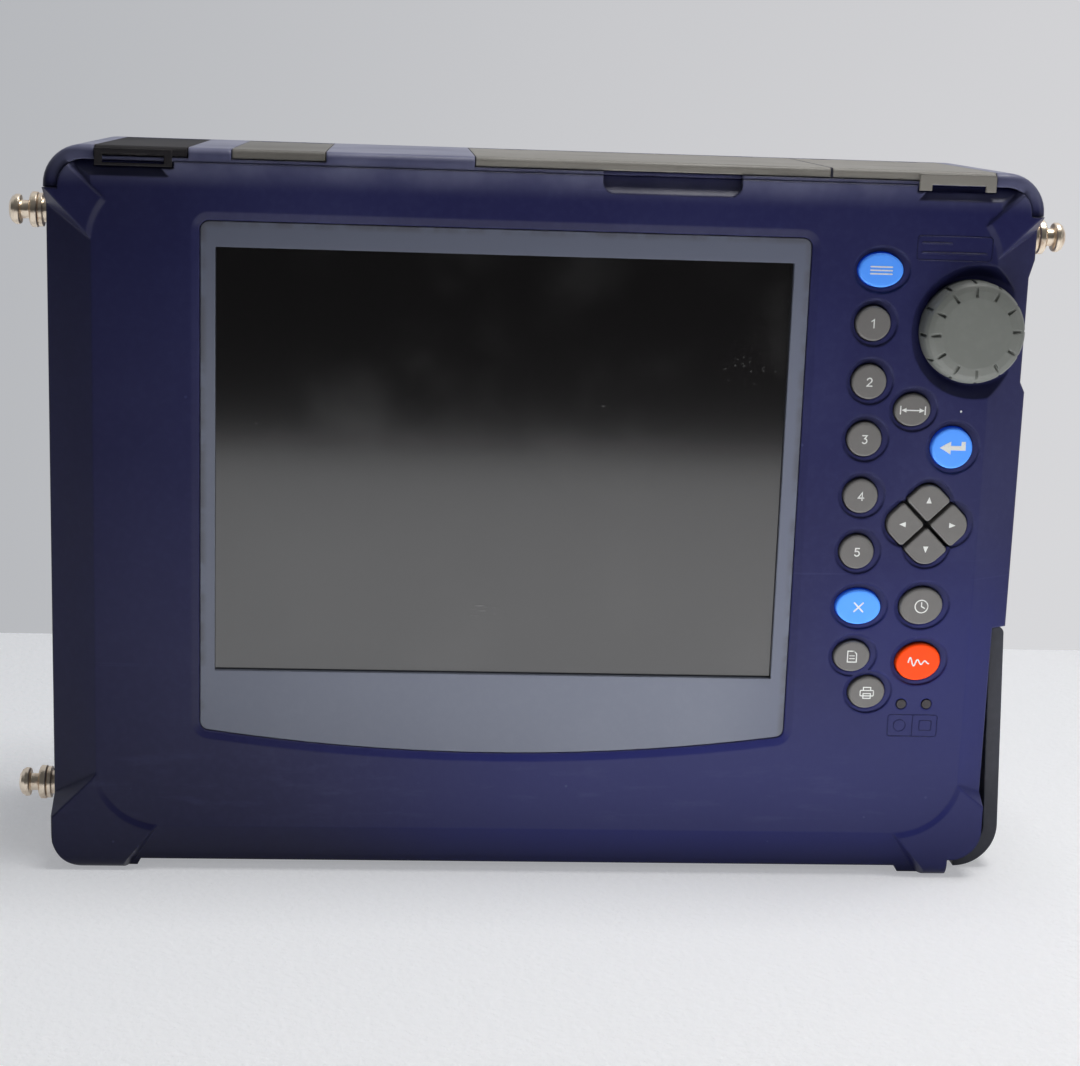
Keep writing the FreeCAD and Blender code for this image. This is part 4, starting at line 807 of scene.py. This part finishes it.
class Sign(Enum):
    """The plain signs that the keys carry."""

    BARS = "bars"
    ONE = "one"
    TWO = "two"
    THREE = "three"
    FOUR = "four"
    FIVE = "five"
    SPAN = "span"
    RETURN = "return"
    CROSS = "cross"
    CLOCK = "clock"
    PAGE = "page"
    PRINTER = "printer"
    WAVE = "wave"
    UP = "up"
    DOWN = "down"
    LEFT = "left"
    RIGHT = "right"

    def strokes(self) -> list[Stroke]:
        """Draws the sign.

        Returns:
            Its strokes, in millimetres from the key's middle.
        """
        drawings = {
            Sign.BARS: [line((-3.2, h), (3.2, h), width=0.46) for h in (1.05, 0.0, -1.05)],
            Sign.ONE: [line((-0.6, 0.68), (0.12, 1.2), (0.12, -1.2))],
            Sign.TWO: [curve(path(arc(0.0, 0.5, 0.7, 165, -38), (-0.72, -1.2), (0.76, -1.2)))],
            Sign.THREE: [
                curve(path((-0.68, 1.2), (0.68, 1.2), (-0.04, 0.28), arc(-0.08, -0.46, 0.74, 70, -145)))
            ],
            Sign.FOUR: [line((0.36, -1.2), (0.36, 1.2), (-0.84, -0.52), (0.84, -0.52))],
            Sign.FIVE: [
                curve(path((0.64, 1.2), (-0.48, 1.2), (-0.56, 0.2), arc(-0.04, -0.44, 0.76, 118, -145)))
            ],
            Sign.SPAN: [
                line((-2.4, 0.0), (2.4, 0.0), width=0.4),
                wedge((-2.0, 0.0), (-3.5, 0.0), width=(1.5, 0.05)),
                wedge((2.0, 0.0), (3.5, 0.0), width=(1.5, 0.05)),
                line((-3.8, 1.15), (-3.8, -1.15), width=0.4),
                line((3.8, 1.15), (3.8, -1.15), width=0.4),
            ],
            Sign.RETURN: [
                wedge((-0.5, 0.1), (-3.9, 0.1), width=(4.3, 0.05)),
                wedge((-0.7, 0.1), (4.1, 0.1), width=1.5),
                wedge((3.4, -0.6), (3.4, 2.1), width=1.4),
            ],
            Sign.CROSS: [
                line((-1.35, -1.35), (1.35, 1.35), width=0.5),
                line((-1.35, 1.35), (1.35, -1.35), width=0.5),
            ],
            Sign.CLOCK: [
                curve(arc(0.0, 0.0, 2.0, 0, 360, 30), 0.38),
                line((0.0, 1.25), (0.0, 0.0), (0.95, -0.55), width=0.38),
            ],
            Sign.PAGE: [
                curve(
                    path((0.55, 1.75), (-1.4, 1.75), (-1.4, -1.75), (1.4, -1.75), (1.4, 0.9), (0.55, 1.75)),
                    0.36,
                ),
                line((-0.75, 0.25), (0.75, 0.25), width=0.3),
                line((-0.75, -0.65), (0.75, -0.65), width=0.3),
            ],
            Sign.PRINTER: [
                curve(frame_path(-2.1, -1.0, 2.1, 0.75, 0.3), 0.36),
                line((-1.15, 0.95), (-1.15, 1.75), (1.15, 1.75), (1.15, 0.95), width=0.34),
                line((-1.15, -0.25), (-1.15, -1.8), (1.15, -1.8), (1.15, -0.25), (-1.0, -0.25), width=0.34),
            ],
            Sign.WAVE: [curve(self.ripple(), 0.45)],
            Sign.UP: [wedge((0.0, -0.95), (0.0, 1.0), width=(1.8, 0.05))],
            Sign.DOWN: [wedge((0.0, 0.95), (0.0, -1.0), width=(1.8, 0.05))],
            Sign.LEFT: [wedge((0.95, 0.0), (-1.0, 0.0), width=(1.8, 0.05))],
            Sign.RIGHT: [wedge((-0.95, 0.0), (1.0, 0.0), width=(1.8, 0.05))],
        }
        return drawings[self]

    @staticmethod
    def ripple() -> np.ndarray:
        """Lays a wave that calms down: a sine whose height falls off to the right."""
        x = np.linspace(-3.2, 3.2, 44)
        return np.column_stack([x, 1.7 * np.exp(-(x + 3.2) / 4.2) * np.sin((x + 3.2) * 2.7)])


@dataclass
class Relief:
    """A sign or legend frame: strokes that stand out of a face that looks to the front."""

    name: str
    body: str
    slot: Slot
    strokes: list[Stroke]
    centre: Point
    face: float
    height: float = 0.05
    stagger: float = 0.004
    sunk: float = 0.04

    def build(self, finish: bpy.types.Material) -> bpy.types.Object:
        """Joins the strokes into one mesh, each an unbroken skin of its own.

        Each stroke stands out a little more than the one before, so that crossing strokes never lie in
        one plane, and its foot is sunk into the face.

        Args:
            finish: The material.

        Returns:
            The piece, riding on its body.
        """
        rows, faces, start = [], [], 0
        for number, stroke in enumerate(self.strokes):
            points, sides = stroke.ribbon(self.height + self.stagger * number)
            rows.append(points)
            faces.append(sides + start)
            start += len(points)
        flat = np.vstack(rows) * MM
        out = np.where(flat[:, 2] > 0.0, flat[:, 2], -self.sunk * MM)
        placed = np.column_stack([self.centre[0] + flat[:, 0], self.face - out, self.centre[1] + flat[:, 1]])
        mesh = bpy.data.meshes.new(self.name)
        mesh.from_pydata(placed.tolist(), [], np.vstack(faces).tolist())
        mesh.update()
        mesh.materials.append(finish)
        piece = bpy.data.objects.new(self.name, mesh)
        bpy.context.scene.collection.objects.link(piece)
        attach(piece, self.body)
        LOG.info("%s: %d strokes on %s", self.name, len(self.strokes), self.body)
        return piece


@dataclass
class Dressing:
    """Gives every node of the frame the finish of its slot."""

    made: dict[Slot, bpy.types.Material]

    def apply(self, nodes: dict[str, bpy.types.Object]) -> int:
        """Assigns the finishes.

        Args:
            nodes: The frame's nodes by name.

        Returns:
            How many material slots were filled.
        """
        filled = 0
        for piece in nodes.values():
            for holder in piece.material_slots:
                name = holder.material.name.split(".")[0]
                holder.material = self.made[Slot(name)]
                filled += 1
        return filled


@dataclass
class Keypad:
    """The printed signs on the keys, and the dot above the enter key."""

    slot: Slot = Slot.LENS_GREY

    def signs(self) -> dict[str, Sign]:
        """Lists which key carries which sign."""
        return {
            "menu_key": Sign.BARS,
            "soft_key_one": Sign.ONE,
            "soft_key_two": Sign.TWO,
            "soft_key_three": Sign.THREE,
            "soft_key_four": Sign.FOUR,
            "soft_key_five": Sign.FIVE,
            "scale_key": Sign.SPAN,
            "enter_key": Sign.RETURN,
            "cancel_key": Sign.CROSS,
            "live_key": Sign.CLOCK,
            "store_key": Sign.PAGE,
            "print_key": Sign.PRINTER,
            "average_key": Sign.WAVE,
            "up_key": Sign.UP,
            "down_key": Sign.DOWN,
            "left_key": Sign.LEFT,
            "right_key": Sign.RIGHT,
        }

    def build(self, ink: bpy.types.Material) -> list[bpy.types.Object]:
        """Prints each key's sign in the middle of its face.

        Args:
            ink: The ink's material.

        Returns:
            The pieces.
        """
        pieces = []
        for node, sign in self.signs().items():
            low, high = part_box(node)
            centre = ((low.x + high.x) / 2.0, (low.z + high.z) / 2.0)
            body = body_of(frame["nodes"][node])[0]
            relief = Relief(f"{node}_sign", body, self.slot, sign.strokes(), centre, low.y)
            pieces.append(relief.build(ink))
        return pieces


@dataclass
class Legends:
    """The bare raised frames above the knob and under the lamps, and the printed dot."""

    ridge: float = 0.16
    width: float = 0.34

    def build(self, plastic: bpy.types.Material, ink: bpy.types.Material) -> list[bpy.types.Object]:
        """Raises the frames out of the front housing's face.

        Args:
            plastic: The housing's finish.
            ink: The ink's material.

        Returns:
            The pieces.
        """
        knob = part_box("rotary_knob")
        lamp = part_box("charge_lamp")
        face = lamp[0].y + 0.00025
        above = ((knob[0].x + knob[1].x) / 2.0 - 0.0068, knob[1].z + 0.0091)
        below = ((lamp[0].x + lamp[1].x) / 2.0 + 0.0040, (lamp[0].z + lamp[1].z) / 2.0 - 0.0071)
        tall = [
            curve(frame_path(-11.4, -3.6, 11.4, 3.6, 0.8), self.width),
            *[line((-9.8, h), (r, h), width=0.8) for h, r in ((1.5, -1.2), (-1.4, 9.6))],
        ]
        cells = [
            curve(frame_path(-7.8, -3.5, 7.8, 3.5, 0.8), self.width),
            line((0.0, -3.4), (0.0, 3.4), width=self.width),
            curve(arc(-4.1, 0.0, 1.9, 60, 400, 20), self.width),
            curve(frame_path(2.2, -1.5, 6.0, 1.7, 0.4), self.width),
        ]
        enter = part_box("enter_key")
        dot = ((enter[0].x + enter[1].x) / 2.0 + 0.0022, enter[1].z + 0.0040)
        spot = [curve(arc(0, 0, 0.16, 0, 300, 8), 0.4)]
        reliefs = [
            (Relief("knob_legend", "case", Slot.CASE_BLUE, tall, above, face, self.ridge), plastic),
            (Relief("lamp_legend", "case", Slot.CASE_BLUE, cells, below, face, self.ridge), plastic),
            (Relief("enter_dot", "case", Slot.LENS_GREY, spot, dot, face), ink),
        ]
        return [relief.build(finish) for relief, finish in reliefs]


@dataclass
class Room:
    """The table, the wall behind it and the light; none of them is part of the object.

    Attributes:
        table_front: Front edge of the table.
        table_back: Back edge of the table, where the wall stands.
        half: Half width of both.
        height: Top of the wall.
        table_lift: How much of its own light the table shows.
        table_dim: The table's colour for the light that it only passes on.
        bounce: Strength of the light that the near stretch of the table sends up.
        bounce_place: Middle of that stretch.
        bounce_reach: Its half width and half depth.
        backdrop: Brightness of the plain grey that is seen past the wall and the table.
    """

    table_front: float = -0.80
    table_back: float = 0.245
    half: float = 3.0
    height: float = 2.4
    table_lift: float = 0.5
    table_dim: Colour = (0.3, 0.3, 0.31, 1.0)
    bounce: float = 4.5
    bounce_place: Point = (0.08, -0.2)
    bounce_reach: Point = (0.3, 0.155)
    backdrop: float = 0.45

    def sheet(self, name: str, corners: list[Point3], finish: bpy.types.Material) -> bpy.types.Object:
        """Makes one flat sheet of the stage.

        Args:
            name: The sheet's name.
            corners: Its four corners.
            finish: Its material.

        Returns:
            The sheet.
        """
        mesh = bpy.data.meshes.new(name)
        mesh.from_pydata(corners, [], [(0, 1, 2, 3)])
        mesh.materials.append(finish)
        made = bpy.data.objects.new(name, mesh)
        bpy.context.scene.collection.objects.link(made)
        made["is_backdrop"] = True
        return made

    def seen(self, net: Net) -> Signal:
        """Tells the rays that come from the camera or off a gloss from those that only carry light."""
        path = net.node("ShaderNodeLightPath", {}, {})
        return Signal(net, path.outputs["Is Camera Ray"]).most(Signal(net, path.outputs["Is Glossy Ray"]))

    def table_finish(self) -> bpy.types.Material:
        """Builds the table's white, with faint fibres and flecks, and painted light that makes it whiter
        towards the front and the right.

        The light that it sends up comes mostly from the stretch just in front of the instrument.

        Returns:
            The material.
        """
        net = Net("table_white")
        fleck = net.cells(160.0).ramp(0.06, 0.02) * net.noise(30.0).ramp(0.5, 0.6)
        fibre = net.noise(420.0, 4.0).ramp(0.35, 0.7)
        # painted light: whiter towards the front and towards the right
        near = net.y.ramp(0.2, -0.45)
        right = net.x.ramp(-0.25, 0.2)
        colour = net.blend(near * 0.6 + right * 0.4, paint(212, 214, 218), paint(226, 226, 228))
        colour = net.blend(fibre * 0.12, colour, paint(196, 198, 204))
        colour = net.blend(fleck * 0.5, colour, paint(240, 240, 242))
        normal = net.relief(fibre, 0.0002)
        lit = net.node("ShaderNodeBsdfDiffuse", {}, {"Color": colour, "Normal": normal})
        lift = net.node("ShaderNodeEmission", {}, {"Color": colour, "Strength": self.table_lift})
        shown = net.node("ShaderNodeAddShader", {}, {0: lit.outputs[0], 1: lift.outputs[0]})
        across = (net.x - self.bounce_place[0]) / self.bounce_reach[0]
        along = (net.y - self.bounce_place[1]) / self.bounce_reach[1]
        patch = (across * across + along * along).ramp(1.0, 0.0)
        warm = net.blend(patch, (0.0, 0.0, 0.0, 1.0), (1.0, 1.0, 1.0, 1.0))
        dim = net.node("ShaderNodeBsdfDiffuse", {}, {"Color": self.table_dim})
        bounce = net.node("ShaderNodeEmission", {}, {"Color": warm, "Strength": self.bounce})
        sent = net.node("ShaderNodeAddShader", {}, {0: dim.outputs[0], 1: bounce.outputs[0]})
        values = {0: self.seen(net), 1: sent.outputs[0], 2: shown.outputs[0]}
        mixed = net.node("ShaderNodeMixShader", {}, values)
        net.node("ShaderNodeOutputMaterial", {}, {"Surface": mixed.outputs[0]})
        return net.material

    def wall_finish(self) -> bpy.types.Material:
        """Builds the wall's grey, with painted light that makes it paler to the right and low on the right,
        glowing a little and clear from behind.
        """
        net = Net("wall_grey")
        # painted light: paler to the right, and paler still low on the right
        right = net.x.ramp(-0.3, 0.3)
        low = net.z.ramp(0.45, 0.0)
        colour = net.blend(right, paint(180, 182, 186), paint(207, 207, 210))
        colour = net.blend(low * right * 0.6, colour, paint(224, 224, 226))
        colour = net.blend(net.noise(3.0).ramp(0.3, 0.8) * 0.15, colour, paint(190, 191, 195))
        plain = net.node("ShaderNodeBsdfDiffuse", {}, {"Color": colour})
        glow = net.node("ShaderNodeEmission", {}, {"Color": colour, "Strength": 1.0})
        shares = {0: self.seen(net), 1: plain.outputs[0], 2: glow.outputs[0]}
        mixed = net.node("ShaderNodeMixShader", {}, shares)
        behind = net.node("ShaderNodeNewGeometry", {}, {}).outputs["Backfacing"]
        clear = net.node("ShaderNodeBsdfTransparent", {}, {})
        faces = {0: behind, 1: mixed.outputs[0], 2: clear.outputs[0]}
        shown = net.node("ShaderNodeMixShader", {}, faces)
        net.node("ShaderNodeOutputMaterial", {}, {"Surface": shown.outputs[0]})
        return net.material

    def lamp(self, name: str, place: Point3, aim: Point3, size: float, power: float, tint: Colour) -> None:
        """Hangs a soft square lamp.

        Args:
            name: The lamp's name.
            place: Where it hangs.
            aim: The point that it faces.
            size: Its side.
            power: Its power in watts.
            tint: Its colour.
        """
        light = bpy.data.lights.new(name, "AREA")
        light.size, light.energy, light.color = size, power, tint[:3]
        made = bpy.data.objects.new(name, light)
        bpy.context.scene.collection.objects.link(made)
        made.location = place
        away = np.array(aim) - np.array(place)
        pitch = math.atan2(float(np.hypot(away[0], away[1])), float(-away[2]))
        made.rotation_euler = (pitch, 0.0, math.atan2(float(away[1]), float(away[0])) - math.pi / 2.0)

    def sky(self) -> None:
        """Lights the room from above, and shows a plain grey where there is no wall."""
        world = bpy.data.worlds.new("room_light")
        bpy.context.scene.world = world
        world.use_nodes = True
        tree = world.node_tree
        tree.nodes.clear()
        place = tree.nodes.new("ShaderNodeTexCoord")
        parts = tree.nodes.new("ShaderNodeSeparateXYZ")
        rise = tree.nodes.new("ShaderNodeMapRange")
        rise.interpolation_type = "SMOOTHSTEP"
        rise.inputs["From Min"].default_value = -0.02
        rise.inputs["From Max"].default_value = 0.45
        rise.inputs["To Min"].default_value = 0.02
        rise.inputs["To Max"].default_value = 0.1
        back = tree.nodes.new("ShaderNodeBackground")
        out = tree.nodes.new("ShaderNodeOutputWorld")
        tree.links.new(place.outputs["Generated"], parts.inputs[0])
        tree.links.new(parts.outputs[2], rise.inputs["Value"])
        path = tree.nodes.new("ShaderNodeLightPath")
        shown = tree.nodes.new("ShaderNodeMath")
        shown.operation = "MULTIPLY_ADD"
        shown.inputs[1].default_value = self.backdrop
        tree.links.new(path.outputs["Is Camera Ray"], shown.inputs[0])
        tree.links.new(rise.outputs[0], shown.inputs[2])
        tree.links.new(shown.outputs[0], back.inputs["Strength"])
        back.inputs["Color"].default_value = (0.96, 0.98, 1.0, 1.0)
        tree.links.new(back.outputs[0], out.inputs["Surface"])

    def build(self) -> None:
        """Sets the table and wall, hangs the lamps and lights the room."""
        front, back, half, high = self.table_front, self.table_back, self.half, self.height
        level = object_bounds()[0].z
        self.sheet(
            "table",
            [(-half, front, level), (half, front, level), (half, back, level), (-half, back, level)],
            self.table_finish(),
        )
        self.sheet(
            "wall",
            [(-half, back, level), (half, back, level), (half, back, high), (-half, back, high)],
            self.wall_finish(),
        )
        self.lamp("ceiling_lamp", (0.3, 0.03, 1.5), (0.0, 0.03, 0.0), 0.7, 15.0, (1.0, 0.99, 0.97, 1.0))
        self.lamp("side_lamp", (0.45, -0.22, 0.26), (0.1, -0.02, 0.15), 0.12, 0.14, (1.0, 1.0, 1.0, 1.0))
        self.sky()


@dataclass
class Viewpoint:
    """The camera: where it stands, how it is turned in degrees and its focal length in millimetres."""

    place: Point3 = (-0.0437, -0.6701, 0.2446)
    pitch: float = 12.01
    yaw: float = -3.94
    roll: float = 1.96
    focal: float = 70.97

    def build(self) -> bpy.types.Object:
        """Makes the camera.

        The turn is a roll times a pitch times a yaw in a frame whose second axis points down and
        third away, so its rows give the camera's own axes.

        Returns:
            The camera.
        """
        a, b, c = (math.radians(v) for v in (self.roll, self.pitch, self.yaw))
        roll = np.array([[math.cos(a), -math.sin(a), 0], [math.sin(a), math.cos(a), 0], [0, 0, 1]])
        pitch = np.array([[1, 0, 0], [0, math.cos(b), -math.sin(b)], [0, math.sin(b), math.cos(b)]])
        yaw = np.array([[math.cos(c), 0, math.sin(c)], [0, 1, 0], [-math.sin(c), 0, math.cos(c)]])
        rows = roll @ pitch @ yaw
        axes = np.array([rows[0], -rows[1], -rows[2]])
        turned = np.column_stack([axes[:, 0], axes[:, 2], -axes[:, 1]])
        matrix = Matrix.Identity(4)
        for column in range(3):
            for row in range(3):
                matrix[row][column] = float(turned[column][row])
        data = bpy.data.cameras.new("view")
        data.lens, data.sensor_width, data.sensor_fit = self.focal, 36.0, "AUTO"
        data.clip_start, data.clip_end = 0.05, 20.0
        camera = bpy.data.objects.new("view", data)
        bpy.context.scene.collection.objects.link(camera)
        camera.matrix_world = Matrix.Translation(self.place) @ matrix
        bpy.context.scene.camera = camera
        return camera


def corners(box: tuple) -> list[list[float]]:
    """Turns a box into plain lists."""
    return [[float(v) for v in corner] for corner in box]


def main() -> None:
    """Dresses the frame, adds the signs, and sets the room and the camera."""
    logging.basicConfig(level=logging.INFO, format="%(name)s: %(message)s")
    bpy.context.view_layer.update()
    made = {slot: finish.build() for slot, finish in finishes().items()}
    ink = Ink("sign_ink", paint(226, 228, 226), paint(170, 172, 172)).build()
    filled = Dressing(made).apply(frame["nodes"])
    LOG.info("finishes on %d material slots", filled)
    Keypad().build(ink)
    Legends().build(made[Slot.CASE_BLUE], ink)
    Room().build()
    Viewpoint().build()
    bpy.context.scene.view_settings.view_transform = "Standard"


if __name__ == "__main__":
    main()
